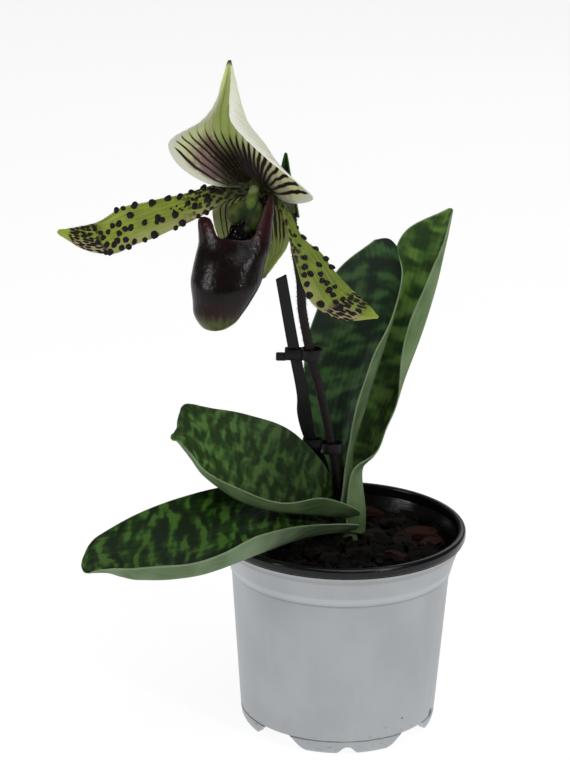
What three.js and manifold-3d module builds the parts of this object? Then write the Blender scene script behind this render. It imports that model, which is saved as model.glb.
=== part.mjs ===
// A slipper orchid (Paphiopedilum, maculate type) in flower, growing in bark in a round nursery pot.
// Millimetres, +Z up. The origin is the middle of the pot's underside, where the pot stands.
// -Y is the front of the plant and +X is to its right.
import * as THREE from 'three';
import { mergeVertices } from 'three/addons/utils/BufferGeometryUtils.js';
import Module from 'manifold-3d';

const wasm = await Module();
wasm.setup();

// ---------------------------------------------------------------- driving dimensions

const GAP = 0.3; // clearance between neighbouring pieces
const LEAF_THICKNESS = 1.3;
const SEPAL_THICKNESS = 1;
const PETAL_THICKNESS = 1.1;

const POT = {
  height: 100.5,
  rimRadius: 60,
  wall: 1.3,
  lipHeight: 5.3,
  lipInnerRadius: 56.5,
  shoulderHeight: 79.5, // where the wall steps out and begins to flare
  shoulderRadius: 52.8,
  shoulderStep: 0.8,
  neckRadius: 58.4, // outside, just under the lip
  baseHeight: 8.5, // where the wall begins to turn in to the feet
  baseRadius: 47.7,
  footRadius: 43.6,
  floorHeight: 8, // underside of the floor
  padRadius: 12, // the flat middle of the floor that comes down to the table
  archWidth: [34, 13], // at the table and at the top of each gap between two feet
  archHeight: 7.6,
  archAngles: [50, 138, 231, 318.8], // degrees from +X
  notchWidth: [13, 1.4],
  notchHeight: 4.6,
  notchTurn: 44, // degrees from each gap to the notch in the foot after it
  drainRadius: 3,
  drainCircle: 28,
  drainCount: 8,
  sides: 40,
};

const BARK = {
  top: 87,
  bottom: 9.8,
  chips: 38,
  chipLength: [8, 15],
  chipWidth: [5, 9],
  chipDepth: [3, 5],
  reach: 49, // how far from the middle the chips lie
};

const CROWN = { x: 3.5, y: 17.5, radius: 6.4, bottom: 66, top: 101 };
const ROOTS = [
  // each root runs from the crown down and out into the bark
  [[3.5, 17.5, 74], [-8, 8, 66], [-20, -6, 52], [-26, -14, 30]],
  [[3.5, 17.5, 73], [14, 4, 64], [24, -14, 50], [26, -22, 26]],
  [[3.5, 17.5, 72], [16, 26, 62], [28, 24, 44], [30, 16, 22]],
  [[3.5, 17.5, 71], [-6, 28, 60], [-18, 30, 42], [-22, 24, 20]],
  [[3.5, 17.5, 70], [5, 8, 56], [2, -2, 38], [4, -4, 18]],
];
const ROOT_RADIUS = 2;

const STEM_RADIUS = 2.15;
const STEM_PATH = [
  [3.6, 20.4, 82], [1.7, 20, 98.6], [-1.3, 18, 113.4], [-5.4, 15, 135.4], [-10.8, 11, 161.7],
  [-14.9, 9, 176.8], [-18.2, 7, 192.7], [-20.6, 5, 206.5], [-21.5, 4, 219.9], [-24.6, 3, 238.5],
  [-26.2, 3, 253],
];

const OVARY_PATH = [
  [-26.3, 3, 253.4], [-28.6, -0.5, 259.5], [-33, -7, 265.5], [-38.5, -14, 269.3], [-43, -18.5, 270],
];
const OVARY_RADII = [2.3, 2.8, 3.1, 3, 3.4];
const RECEPTACLE_RADIUS = 3.7; // the flower's base, which its sepals and petals grow from

// The flower looks forward and to the left: this is its own forward and its own right.
const FLOWER_FORWARD = new THREE.Vector3(-0.42, -0.907, 0).normalize();
const FLOWER_RIGHT = new THREE.Vector3(0.907, -0.42, 0).normalize();

// The blades below are nets: a row for each station from base to tip, and in it the points from one margin,
// over the midrib and the fold, to the other margin.

const LEAF_LOWER_LEFT = [
  [[0, 22.5, 92], [-2.6, 17.5, 90.5], [0.5, 12.5, 90], [6, 12, 91.5]],
  [[-6, 23.5, 98], [-8, 15, 94.5], [-2.5, 6.5, 92.8], [7.5, 7, 97]],
  [[-19, 20, 106.5], [-20, 4, 103.5], [-19, -12, 97.5], [-15, -14, 104.5]],
  [[-40.5, 2, 119], [-42, -18, 111.5], [-39.5, -47, 103.5], [-39, -50, 113]],
  [[-66, -22, 124], [-67, -38, 113], [-66.5, -60, 98.3], [-64, -65, 106]],
  [[-91.5, -44, 122.5], [-92.5, -55, 113], [-92.5, -70, 99.6], [-91.5, -75, 106.5]],
  [[-108.8, -60.5, 118.3], [-110.4, -66.5, 112.2], [-107.6, -74, 104.4], [-105, -77, 106.3]],
  [[-115.7, -66, 114], [-116.4, -70, 109.9], [-114.2, -75.3, 104.9], [-111.6, -77, 105.6]],
  [[-118.5, -71.5, 109], [-118.9, -74, 106.9], [-117.5, -76.3, 104.7], [-115.6, -77, 104.3]],
];

const LEAF_UPPER_LEFT = [
  [[1, 22.5, 98.5], [-2.4, 18, 97], [0.5, 12.5, 96], [6, 12, 97.5]],
  [[-2, 22, 106.5], [-6.5, 16, 104], [-1.5, 8, 101], [8.5, 8.5, 104]],
  [[-9.5, 13.5, 126.5], [-11.5, 8, 116.5], [-10.5, -2, 105.5], [-9.5, -9, 116.5]],
  [[-26.5, 9, 145], [-29.5, 0, 131.5], [-30, -16, 113.5], [-28.5, -22, 118.5]],
  [[-46.5, 6, 153], [-49, -8, 140], [-49.5, -26, 123], [-48.5, -32, 129]],
  [[-64.5, 0, 158], [-65.5, -14, 149.5], [-65, -30, 136], [-64.4, -33.4, 138.2]],
  [[-74.5, -9, 162.8], [-75, -18, 156.3], [-71.6, -29, 144.4], [-70.8, -30.8, 145]],
  [[-77.2, -13.5, 160], [-77.3, -19.5, 155.2], [-75.3, -28, 148.8], [-74.6, -29, 148.8]],
  [[-77.7, -18.5, 155.6], [-78.2, -22, 153.7], [-78, -26.5, 151.2], [-77.4, -28, 150.8]],
  [[-80.1, -24, 152.7], [-80.9, -25.5, 151.8], [-80.4, -26.3, 151], [-79.5, -27, 150.6]],
];

const LEAF_FRONT_RIGHT = [
  [[-2.5, 20.5, 100], [5, 23, 98], [8.5, 14, 100], [-0.5, 10.5, 105]],
  [[-10.5, 26, 124.5], [2, 30, 117], [5, 23, 125.5], [1.5, 16, 121]],
  [[-16.5, 32, 146], [-1, 40, 142], [11, 35, 149], [6.5, 26, 148.5]],
  [[-19, 38, 168.5], [5, 50, 165.5], [18, 44, 170.5], [14, 36, 172]],
  [[-15, 42, 189], [12.5, 56, 190.5], [24, 54, 191], [24, 48, 190]],
  [[-4, 46, 213], [18, 60, 212], [27.5, 59, 210], [28.5, 56, 209]],
  [[14.5, 54.8, 227.3], [19.5, 59, 227.2], [23, 60, 226], [26, 60, 222.5]],
];

const LEAF_BACK_RIGHT = [
  [[1, 25.5, 92], [10.5, 20, 90], [10, 13, 90.5], [3, 9, 93]],
  [[1.5, 26, 102], [10.7, 21, 100], [9.8, 13, 102], [2.6, 9.2, 105]],
  [[4.5, 32, 116], [9.6, 27, 117], [8.4, 20, 118.5], [5.2, 15, 121.5]],
  [[1, 44, 124], [11.8, 38, 124.5], [15, 28, 125.5], [16.6, 21.5, 129]],
  [[-1, 54, 133], [14.5, 46, 134], [19, 36, 134.5], [21.5, 30, 138]],
  [[2, 64, 154.5], [22.5, 58, 149], [27, 48, 149.5], [27.5, 42, 149.5]],
  [[11, 68, 179.5], [30, 68, 170.5], [37.5, 60, 174], [30, 49, 177]],
  [[22, 70, 207], [37.5, 74, 200], [46, 68, 202], [40, 58, 203]],
  [[30.5, 72, 227.5], [43.5, 77, 222], [50.5, 74, 223], [49, 69, 222]],
  [[51.5, 75.5, 238.5], [53, 77, 238], [53.5, 77.5, 238], [53.5, 77, 237]],
];

const DORSAL_SEPAL = [
  [[-46, -20, 270], [-45, -19.5, 271], [-43, -19, 271.5], [-41, -20, 271], [-39.5, -21, 270]],
  [[-62.5, -24, 272], [-53, -18, 272.5], [-46, -14, 273], [-37, -19, 270.5], [-27, -28, 265]],
  [[-75.5, -26, 279.5], [-62.5, -19, 280], [-49.5, -12, 278.5], [-36, -20, 276], [-17, -36, 268.5]],
  [[-81.5, -27, 288.5], [-69, -19, 287.5], [-53, -11, 285], [-38, -19, 282], [-21, -38, 274.5]],
  [[-79.5, -26, 294], [-69, -19, 293.5], [-56, -12, 291.5], [-39, -19, 289], [-38, -36, 287.5]],
  [[-67.5, -24, 301], [-62.5, -18, 301], [-57, -14, 300], [-46.5, -20, 299.5], [-52.5, -32, 301]],
  [[-61, -23, 309.5], [-59, -20, 309], [-57, -17, 309], [-50, -21, 309.5], [-54.5, -28, 309]],
  [[-58, -24, 319.5], [-56.5, -22, 319.5], [-55.5, -20.5, 319.5], [-52.5, -22, 320], [-54, -25.5, 319.5]],
  [[-55.6, -24, 328], [-55.2, -24, 328.5], [-54.8, -24, 328.5], [-54.4, -24, 328.5], [-54, -24.5, 328]],
];

const VENTRAL_SEPAL = [
  [[-45.5, -16.5, 268.5], [-44.5, -16, 268.5], [-43, -15.5, 268.5], [-41.5, -16, 268.5], [-39.5, -17, 268.5]],
  [[-60.5, -16, 261.5], [-53.5, -12, 261], [-44, -9, 259.5], [-35, -11, 260.5], [-28.5, -18, 260.5]],
  [[-61.5, -16, 252], [-53.5, -10, 248.5], [-43, -6, 246], [-33, -8, 248], [-27, -17, 250]],
  [[-57, -13, 239.5], [-50.5, -7, 236.5], [-41.5, -4, 235], [-33, -6, 237.5], [-28, -13, 241]],
  [[-49.5, -8, 229], [-45.5, -5, 227.5], [-40.5, -3, 227], [-36, -4, 229], [-32.5, -8, 232.5]],
  [[-42, -4, 223], [-41, -4, 222.5], [-40, -4, 222.5], [-39, -4, 223], [-38, -4, 223.5]],
];

const PETAL_LEFT = [
  [[-44, -20, 272], [-43.5, -21, 270], [-43, -22, 268]],
  [[-58.5, -17, 271], [-56.5, -21, 267.5], [-55, -24, 264.5]],
  [[-72.5, -12, 265.5], [-70, -18, 261], [-68, -22, 256.5]],
  [[-91.5, -6, 259.5], [-89, -12, 252.5], [-86, -17, 246.5]],
  [[-104.5, -3, 255.5], [-102, -8, 246.5], [-98.5, -13, 240.5]],
  [[-115.5, -2, 248.5], [-113, -6, 241], [-108.5, -10, 235.5]],
  [[-125, -2, 246], [-124, -4, 241], [-121, -6, 236]],
  [[-133.5, -2, 244.5], [-134.5, -3, 243.5], [-133, -3.5, 242]],
];

const PETAL_RIGHT = [
  [[-39, -19, 270.5], [-40, -20.5, 269.5], [-41, -22, 268.5]],
  [[-29, -27, 263.5], [-30.5, -30, 263], [-32, -32, 263]],
  [[-22, -32, 251.5], [-24.5, -37, 251], [-27, -40, 251]],
  [[-13, -38, 244.5], [-18, -44, 243], [-23.5, -47, 240]],
  [[-6.5, -45, 238], [-12.5, -50, 234.5], [-20, -52, 231]],
  [[-0.5, -52, 233], [-7, -56, 228.5], [-14.5, -57, 224.5]],
  [[6.5, -58, 228.5], [2.5, -61, 225], [-3, -61, 220]],
  [[12.4, -62.9, 223], [12.8, -63, 222.4], [12.1, -63.3, 221.8]],
];

// Warts stand on both margins of a petal and in a broken row along each side of its middle.
const WARTS = { radius: 1.6, marginCount: 8, innerCount: 6, from: 0.14, to: 0.88, rise: 0.7 };

const BRACT = [
  [[-29.7, 1.2, 250], [-29.2, 5.2, 250], [-26, 6.6, 250], [-23, 4.6, 250.5], [-23, 1, 251]],
  [[-31.8, 2, 259], [-31.2, 6.5, 260], [-27.5, 8.8, 260], [-25, 7, 260.5], [-24.8, 2.6, 260.5]],
  [[-32, 6, 268], [-31.4, 8.6, 269], [-29, 10.6, 269], [-27.2, 9, 269.5], [-27, 6, 269]],
  [[-29.9, 9.4, 279.2], [-29.6, 9.8, 279.7], [-29.3, 10.2, 279.7], [-28.9, 9.8, 279.7], [-28.6, 9.4, 279.2]],
];
const BRACT_THICKNESS = 0.9;

// The pouch in level sections: the middle of each, its half width along the flower's right and its half depth
// along the flower's forward.
const POUCH_SECTIONS = [
  { at: [-46, -25, 272], width: 9.5, depth: 7 },
  { at: [-49, -29, 266], width: 13, depth: 9.5 },
  { at: [-51, -34, 257.5], width: 15.2, depth: 12 },
  { at: [-51.5, -38, 248.5], width: 16.2, depth: 13.5 },
  { at: [-53, -41, 243.5], width: 16.3, depth: 14 },
  { at: [-54.5, -44, 236], width: 16.4, depth: 14.3 },
  { at: [-55.5, -46, 231.5], width: 15.8, depth: 13.8 },
  { at: [-57, -48, 224.5], width: 13.2, depth: 12 },
  { at: [-58.5, -49.5, 219.5], width: 11.2, depth: 10.4 },
  { at: [-59, -50.5, 216], width: 9, depth: 8.4 },
  { at: [-59.7, -51, 213.2], width: 5.8, depth: 5.6 },
  { at: [-60, -51, 212], width: 2.8, depth: 2.8 },
];
const POUCH_TOE = [-60, -51, 211.6];
const POUCH_WALL = 1.1;
// Height of the rim round the opening, from the front (0 degrees) round by the flower's right and back again.
const POUCH_RIM = [
  [0, 252.4], [15, 252.4], [32, 252.2], [48, 252.5], [57, 254.2], [66, 259.5], [75, 265.5], [86, 269], [130, 268],
  [150, 266], [180, 264], [198, 261], [208, 254], [216, 247.5], [235, 245.5], [255, 247.5], [273, 250.5],
  [285, 253.2], [295, 256], [303, 258.2], [312, 259.6], [323, 260.1], [331, 259.9], [337, 258.7], [342, 256.2],
  [348, 253.6], [355, 252.6],
];
// The lobes on the left and right of the rim lean outward, from a height up to the rim.
const POUCH_EARS = [
  { middle: 310, reach: 62, from: 243, top: 259, lean: 3.4 },
  { middle: 100, reach: 55, from: 240, top: 262, lean: 2.4 },
];

// The staminode is a shield with a notch below, on a short column.
const STAMINODE = [
  [[-49.5, -29, 264.9], [-46.8, -30.5, 265.8], [-44.1, -31, 265.9], [-41.8, -31.5, 265.6], [-40, -31.5, 264.7]],
  [[-54.4, -29.5, 263.1], [-49.8, -32, 263.8], [-44.9, -33, 263.6], [-41.3, -33.8, 263.4], [-38.6, -33.5, 262]],
  [[-55.5, -30, 260.5], [-50.7, -33, 261.3], [-45.7, -34, 261.1], [-41.2, -35.2, 260.6], [-38.3, -34.6, 259.1]],
  [[-55, -30.4, 257.8], [-51.1, -33, 258.3], [-46.6, -34, 258.8], [-41.6, -35.8, 257.5], [-38.5, -35, 256.2]],
  [[-52.9, -31, 255.7], [-50.9, -32.5, 255.8], [-47.7, -33.5, 257.7], [-43.4, -35, 254.3], [-40.3, -35, 254.1]],
];
const STAMINODE_THICKNESS = 2.2;
const COLUMN_PATH = [
  [-43, -18.5, 269.5], [-43.2, -23, 269.6], [-43.6, -27.5, 268.4], [-44.2, -31, 265.6], [-44.7, -32.5, 262.6],
  [-45.2, -33, 260.4],
];
const COLUMN_RADII = [1.8, 2.1, 2.6, 3, 2.3, 0.9];

// Left and right edge of the flat support stake, from the top down.
const STAKE = [
  [[-33.1, 4.6, 220], [-28.1, 4.6, 222.6]],
  [[-27.5, 9, 188.5], [-22, 9, 188.5]],
  [[-22.6, 12, 163], [-17, 12, 163]],
  [[-22, 14.4, 151], [-15, 14.4, 151]],
  [[-18.6, 17.6, 138], [-12.8, 17.6, 138]],
  [[-11.4, 23, 121], [-6.4, 23, 121]],
  [[-9.6, 27, 102], [-4.6, 27, 102]],
  [[-8.6, 29, 84], [-3.6, 29, 84]],
];
const STAKE_THICKNESS = 2.6;

const CLIP = { ringOuter: 5.3, ringInner: 4.2, height: 5, strap: 1.3, sides: 20 };
const CLIP_UPPER = { stem: [-15.7, 8.6, 183], stake: [-23.7, 9.6, 182.6], tail: 5 };
const CLIP_LOWER = { stem: [-5.1, 15.3, 134], stake: [-14.4, 18.4, 134.4], tail: 0 };

const FINISH = {
  pot: { color: 0xb9bec4, roughness: 0.42, metalness: 0.35 },
  bark: { color: 0x2c1c15, roughness: 0.95 },
  root: { color: 0x8f9a63, roughness: 0.7 },
  leaf: { color: 0x2f5a2b, roughness: 0.45 },
  stem: { color: 0x2b1a1c, roughness: 0.75 },
  ovary: { color: 0x4d5a2a, roughness: 0.7 },
  bract: { color: 0x35602f, roughness: 0.6 },
  sepal: { color: 0xc4cf9a, roughness: 0.5 },
  petal: { color: 0x8fae3a, roughness: 0.5 },
  pouch: { color: 0x2a1118, roughness: 0.28 },
  staminode: { color: 0x7ca338, roughness: 0.35 },
  plastic: { color: 0x17181a, roughness: 0.5 },
};

// ---------------------------------------------------------------- solids

/** A three.js geometry as a closed solid. */
function solidOf(geometry) {
  const bare = geometry.clone();
  bare.deleteAttribute('normal');
  bare.deleteAttribute('uv');
  const merged = mergeVertices(bare, 1e-4);
  const triVerts = new Uint32Array(merged.index.array);
  const vertProperties = new Float32Array(merged.attributes.position.array);
  return new wasm.Manifold(new wasm.Mesh({ numProp: 3, vertProperties, triVerts }));
}

/** A closed solid as a three.js geometry. */
function geometryOf(solid) {
  const mesh = solid.getMesh();
  const geometry = new THREE.BufferGeometry();
  geometry.setAttribute('position', new THREE.BufferAttribute(mesh.vertProperties, 3));
  geometry.setIndex(new THREE.BufferAttribute(mesh.triVerts, 1));
  geometry.computeVertexNormals();
  return geometry;
}

/** The largest body of a solid: scraps that a cut leaves loose are dropped. */
function largest(solid) {
  const bodies = solid.decompose();
  return bodies.reduce((best, body) => (body.volume() > best.volume() ? body : best));
}

/** The first solid less all the others. */
function cut(solid, ...tools) {
  return largest(tools.reduce((left, tool) => left.subtract(tool), solid));
}

/** All the solids as one. */
function fuse(...solids) {
  return solids.reduce((sum, solid) => sum.add(solid));
}

/** A repeatable stream of numbers from 0 to 1. */
function randomStream(seed) {
  let state = seed;
  return () => {
    state = (state * 1664525 + 1013904223) % 4294967296;
    return state / 4294967296;
  };
}

// ---------------------------------------------------------------- curves and blades

/** The Catmull-Rom value at x, from 0 to 1, along a list of vectors, run straight on past both ends. */
function splinePoint(points, x) {
  const last = points.length - 1;
  const span = Math.min(Math.floor(x * last), last - 1);
  const t = x * last - span;
  const b = points[span];
  const c = points[span + 1];
  const a = span > 0 ? points[span - 1] : b.clone().multiplyScalar(2).sub(c);
  const d = span + 2 <= last ? points[span + 2] : c.clone().multiplyScalar(2).sub(b);
  return new THREE.Vector3(
    ...['x', 'y', 'z'].map((k) => 0.5 * (2 * b[k] + (c[k] - a[k]) * t
      + (2 * a[k] - 5 * b[k] + 4 * c[k] - d[k]) * t * t
      + (3 * b[k] - a[k] - 3 * c[k] + d[k]) * t * t * t)),
  );
}

/** A point of a net: u runs from base to tip and v from margin to margin. */
function netPoint(net, u, v) {
  const row = net.map((points) => splinePoint(points.map((p) => new THREE.Vector3(...p)), v));
  return splinePoint(row, u);
}

/** The unit normal of a net at u, v. */
function netNormal(net, u, v) {
  const step = 0.002;
  const u0 = Math.max(u - step, 0);
  const u1 = Math.min(u + step, 1);
  const v0 = Math.max(v - step, 0);
  const v1 = Math.min(v + step, 1);
  const along = netPoint(net, u1, v).sub(netPoint(net, u0, v));
  const across = netPoint(net, u, v1).sub(netPoint(net, u, v0));
  return across.cross(along).normalize();
}

/** A closed solid from two grids of points, split alike, joined round their four sides. */
function slab(upper, lower) {
  const rows = upper.length;
  const columns = upper[0].length;
  const positions = [...upper.flat(), ...lower.flat()].flatMap((p) => [p.x, p.y, p.z]);
  const index = [];
  const top = (i, j) => i * columns + j;
  const bottom = (i, j) => rows * columns + i * columns + j;
  const quad = (a, b, c, d) => index.push(a, b, c, a, c, d);
  for (let i = 0; i < rows - 1; i += 1) {
    for (let j = 0; j < columns - 1; j += 1) {
      quad(top(i, j), top(i, j + 1), top(i + 1, j + 1), top(i + 1, j));
      index.push(bottom(i, j), bottom(i + 1, j + 1), bottom(i, j + 1));
      index.push(bottom(i, j), bottom(i + 1, j), bottom(i + 1, j + 1));
    }
    quad(top(i + 1, 0), bottom(i + 1, 0), bottom(i, 0), top(i, 0));
    quad(top(i, columns - 1), bottom(i, columns - 1), bottom(i + 1, columns - 1), top(i + 1, columns - 1));
  }
  for (let j = 0; j < columns - 1; j += 1) {
    quad(top(0, j), bottom(0, j), bottom(0, j + 1), top(0, j + 1));
    quad(top(rows - 1, j + 1), bottom(rows - 1, j + 1), bottom(rows - 1, j), top(rows - 1, j));
  }
  const geometry = new THREE.BufferGeometry();
  geometry.setAttribute('position', new THREE.Float32BufferAttribute(positions, 3));
  geometry.setIndex(index);
  const solid = solidOf(geometry);
  if (solid.volume() > 0) return solid;
  geometry.setIndex(index.reverse());
  return solidOf(geometry);
}

/** A blade of even thickness on a net. grow makes it that much larger all round. */
function blade(net, rows, columns, thickness, grow = 0) {
  const half = thickness / 2 + grow;
  const points = [];
  const normals = [];
  for (let i = 0; i <= rows; i += 1) {
    const us = i / rows;
    points.push([]);
    normals.push([]);
    for (let j = 0; j <= columns; j += 1) {
      points[i].push(netPoint(net, us, j / columns));
      normals[i].push(netNormal(net, us, j / columns));
    }
  }
  if (grow > 0) {
    for (const row of points) {
      pushOut(row[0], row[1], grow);
      pushOut(row[columns], row[columns - 1], grow);
    }
    for (let j = 0; j <= columns; j += 1) {
      pushOut(points[0][j], points[1][j], grow);
      pushOut(points[rows][j], points[rows - 1][j], grow);
    }
  }
  const shift = (side) => points.map((row, i) => (
    row.map((p, j) => p.clone().addScaledVector(normals[i][j], side * half))));
  return slab(shift(1), shift(-1));
}

/** Moves a point straight away from its neighbour. */
function pushOut(point, neighbour, distance) {
  point.addScaledVector(point.clone().sub(neighbour).normalize(), distance);
}

/** A round tube of even radius along a smooth path, run on past both ends by the growth. */
function tube(path, radius, sides, steps, grow = 0) {
  const points = path.map((p) => new THREE.Vector3(...p));
  pushOut(points[0], points[1], grow);
  pushOut(points.at(-1), points.at(-2), grow);
  const section = new THREE.Shape(
    Array.from({ length: sides }, (_, i) => {
      const angle = (2 * Math.PI * i) / sides;
      return new THREE.Vector2((radius + grow) * Math.cos(angle), (radius + grow) * Math.sin(angle));
    }),
  );
  const extrudePath = new THREE.CatmullRomCurve3(points);
  return solidOf(new THREE.ExtrudeGeometry(section, { steps, bevelEnabled: false, extrudePath }));
}

/** A solid of revolution round the vertical axis, from [radius, height] pairs. */
function turned(profile, sides) {
  const points = profile.map(([radius, height]) => new THREE.Vector2(radius, height));
  const geometry = new THREE.LatheGeometry(points, sides);
  geometry.rotateX(Math.PI / 2);
  const solid = solidOf(geometry);
  if (solid.volume() > 0) return solid;
  geometry.setIndex([...geometry.index.array].reverse());
  return solidOf(geometry);
}

/** A ball. */
function ball(at, radius) {
  const geometry = new THREE.IcosahedronGeometry(radius, 1);
  geometry.translate(...at);
  return solidOf(geometry);
}

/** A wart with eight sides. */
function wart(at, radius) {
  const geometry = new THREE.OctahedronGeometry(radius);
  geometry.translate(at.x, at.y, at.z);
  return solidOf(geometry);
}

/** A box with its middle at a point. */
function block(size, at) {
  const geometry = new THREE.BoxGeometry(...size);
  geometry.translate(...at);
  return solidOf(geometry);
}

// ---------------------------------------------------------------- pot and bark

/** Outside radius of the pot's wall at a height between the base and the lip. */
function potRadius(z) {
  const lipBottom = POT.height - POT.lipHeight;
  if (z < POT.shoulderHeight) {
    return THREE.MathUtils.mapLinear(z, POT.baseHeight, POT.shoulderHeight, POT.baseRadius, POT.shoulderRadius);
  }
  const start = POT.shoulderRadius + POT.shoulderStep;
  const rise = (z - POT.shoulderHeight) / (lipBottom - POT.shoulderHeight);
  return start + (POT.neckRadius - start) * rise ** 1.25;
}

/** A gap cut up through the foot ring at an angle, narrower at its top, with rounded sides. */
function footGap([low, high], height, degrees) {
  const depth = 16;
  const side = [0, 0.25, 0.5, 0.75, 1].map((t) => (
    [THREE.MathUtils.lerp(low, high, t) / 2, height * THREE.MathUtils.smoothstep(t, 0, 1)]));
  const outline = new THREE.Shape([
    new THREE.Vector2(-low / 2, -1),
    new THREE.Vector2(low / 2, -1),
    ...side.map(([x, z]) => new THREE.Vector2(x, z)),
    ...side.reverse().map(([x, z]) => new THREE.Vector2(-x, z)),
  ]);
  const geometry = new THREE.ExtrudeGeometry(outline, { depth, bevelEnabled: false });
  geometry.rotateX(Math.PI / 2);
  geometry.translate(0, POT.footRadius + depth / 2, 0);
  geometry.rotateZ(THREE.MathUtils.degToRad(degrees - 90));
  return solidOf(geometry);
}

function makePot() {
  const { wall, rimRadius, height, lipHeight, floorHeight, padRadius, footRadius, baseHeight } = POT;
  const lipBottom = height - lipHeight;
  const wallHeights = [baseHeight, POT.shoulderHeight - 0.6, POT.shoulderHeight, 87, 92, lipBottom];
  const outside = wallHeights.map((z) => [potRadius(z), z]);
  const inside = wallHeights.map((z) => [potRadius(z) - wall, z]).reverse();
  const profile = [
    [0, 0],
    [padRadius, 0],
    [padRadius + 1.5, floorHeight],
    [footRadius - wall + 2.6, floorHeight],
    [footRadius - wall - 0.4, 0],
    [footRadius, 0],
    [footRadius + 2, 0.9],
    [footRadius + 3.2, 2.6],
    [footRadius + 3.8, 5],
    [footRadius + 4, baseHeight - 0.6],
    ...outside,
    [rimRadius - 0.2, lipBottom + 0.6],
    [rimRadius, height - 1.6],
    [rimRadius - 1.3, height],
    [POT.lipInnerRadius + 0.8, height - 0.1],
    [POT.lipInnerRadius, height - 1.2],
    [POT.lipInnerRadius, lipBottom + 0.6],
    ...inside,
    [POT.baseRadius - wall - 0.8, floorHeight + wall],
    [padRadius + 2.6, floorHeight + wall],
    [padRadius + 1, wall],
    [0, wall],
  ];
  const shell = turned(profile, POT.sides);
  const gaps = POT.archAngles.map((degrees) => footGap(POT.archWidth, POT.archHeight, degrees));
  const notches = POT.archAngles.map((degrees) => (
    footGap(POT.notchWidth, POT.notchHeight, degrees + POT.notchTurn)));
  const drains = Array.from({ length: POT.drainCount }, (_, i) => {
    const angle = (2 * Math.PI * i) / POT.drainCount;
    const geometry = new THREE.CylinderGeometry(POT.drainRadius, POT.drainRadius, 8, 8);
    geometry.rotateX(Math.PI / 2);
    geometry.translate(POT.drainCircle * Math.cos(angle), POT.drainCircle * Math.sin(angle), floorHeight);
    return solidOf(geometry);
  });
  return cut(shell, ...gaps, ...notches, ...drains);
}

/** One slab of bark with uneven corners. */
function barkChip(random) {
  const between = ([low, high]) => low + (high - low) * random();
  const size = [between(BARK.chipLength), between(BARK.chipWidth), between(BARK.chipDepth)];
  const slabOfBark = new THREE.BoxGeometry(...size).deleteAttribute('normal').deleteAttribute('uv');
  const geometry = mergeVertices(slabOfBark);
  const position = geometry.attributes.position;
  for (let i = 0; i < position.count; i += 1) {
    position.setXYZ(
      i,
      position.getX(i) * (0.7 + 0.45 * random()),
      position.getY(i) * (0.65 + 0.5 * random()),
      position.getZ(i) * (0.6 + 0.5 * random()),
    );
  }
  geometry.rotateX((random() - 0.5) * 0.7);
  geometry.rotateY((random() - 0.5) * 0.9);
  geometry.rotateZ(random() * 2 * Math.PI);
  return geometry;
}

function makeBark(...holes) {
  const random = randomStream(11);
  const clear = POT.wall + 2 * GAP;
  const heights = [POT.baseHeight + 2, 78.9, 79.5, BARK.top - 3];
  const foot = [potRadius(POT.baseHeight) - clear - 1.5, BARK.bottom];
  const side = [foot, ...heights.map((z) => [potRadius(z) - clear, z])];
  const bed = turned([[0, BARK.bottom], ...side, [40, BARK.top - 1], [0, BARK.top]], POT.sides);
  const chips = [];
  for (let i = 0; i < BARK.chips; i += 1) {
    // a sunflower spiral spreads the chips evenly over the bed
    const radius = BARK.reach * Math.sqrt((i + 0.5) / BARK.chips);
    const angle = i * 2.39996 + (random() - 0.5) * 0.5;
    const chip = barkChip(random);
    const height = BARK.top - 2.2 * (radius / BARK.reach) ** 2 + (random() - 0.35) * 2.2;
    chip.translate(radius * Math.cos(angle), radius * Math.sin(angle), height);
    chips.push(solidOf(chip));
  }
  const overTop = POT.height - POT.lipHeight;
  const inside = turned(
    [[0, BARK.bottom], ...side.slice(0, 4), [POT.lipInnerRadius - 1, overTop], [0, overTop]],
    POT.sides,
  );
  const filled = fuse(bed, ...chips).intersect(inside);
  return cut(filled, ...holes);
}

// ---------------------------------------------------------------- plant

function stem(grow = 0) {
  return tube(STEM_PATH, STEM_RADIUS, 8, 18, grow);
}

function crownAndRoots(grow = 0) {
  const { x, y, radius, bottom, top } = CROWN;
  const profile = [
    [0, bottom - grow],
    [radius * 0.6 + grow, bottom + 2 - grow],
    [radius + grow, bottom + 9],
    [radius + grow, top - 8],
    [radius * 0.86 + grow, top - 2],
    [radius * 0.7 + grow, top + grow],
    [0, top + grow],
  ];
  const crown = turned(profile, 14).translate([x, y, 0]);
  const roots = ROOTS.map((path) => tube(path, ROOT_RADIUS, 6, 5, grow));
  return fuse(crown, ...roots);
}

const stakeSolid = (grow = 0) => blade(STAKE, 16, 1, STAKE_THICKNESS, grow);

/** A ring round the stem, a strap round the stake, and a tail. */
function clip({ stem: stemAt, stake: stakeAt, tail }) {
  const { ringOuter, ringInner, height, strap, sides } = CLIP;
  const ring = turned([
    [ringInner, -height / 2], [ringOuter, -height / 2], [ringOuter, height / 2], [ringInner, height / 2],
    [ringInner, -height / 2],
  ], sides).translate(stemAt);
  const hole = [6.9, STAKE_THICKNESS + 1, 20];
  const sleeve = block([hole[0] + 2 * strap, hole[1] + 2 * strap, height], stakeAt);
  const pieces = [ring, sleeve];
  if (tail > 0) {
    const tailAt = [stakeAt[0] - hole[0] / 2 - strap - tail / 3, stakeAt[1], stakeAt[2] - 1.5];
    pieces.push(block([tail, 2.4, 3.6], tailAt));
  }
  return cut(fuse(...pieces), stakeSolid(GAP), stem(GAP));
}

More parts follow.
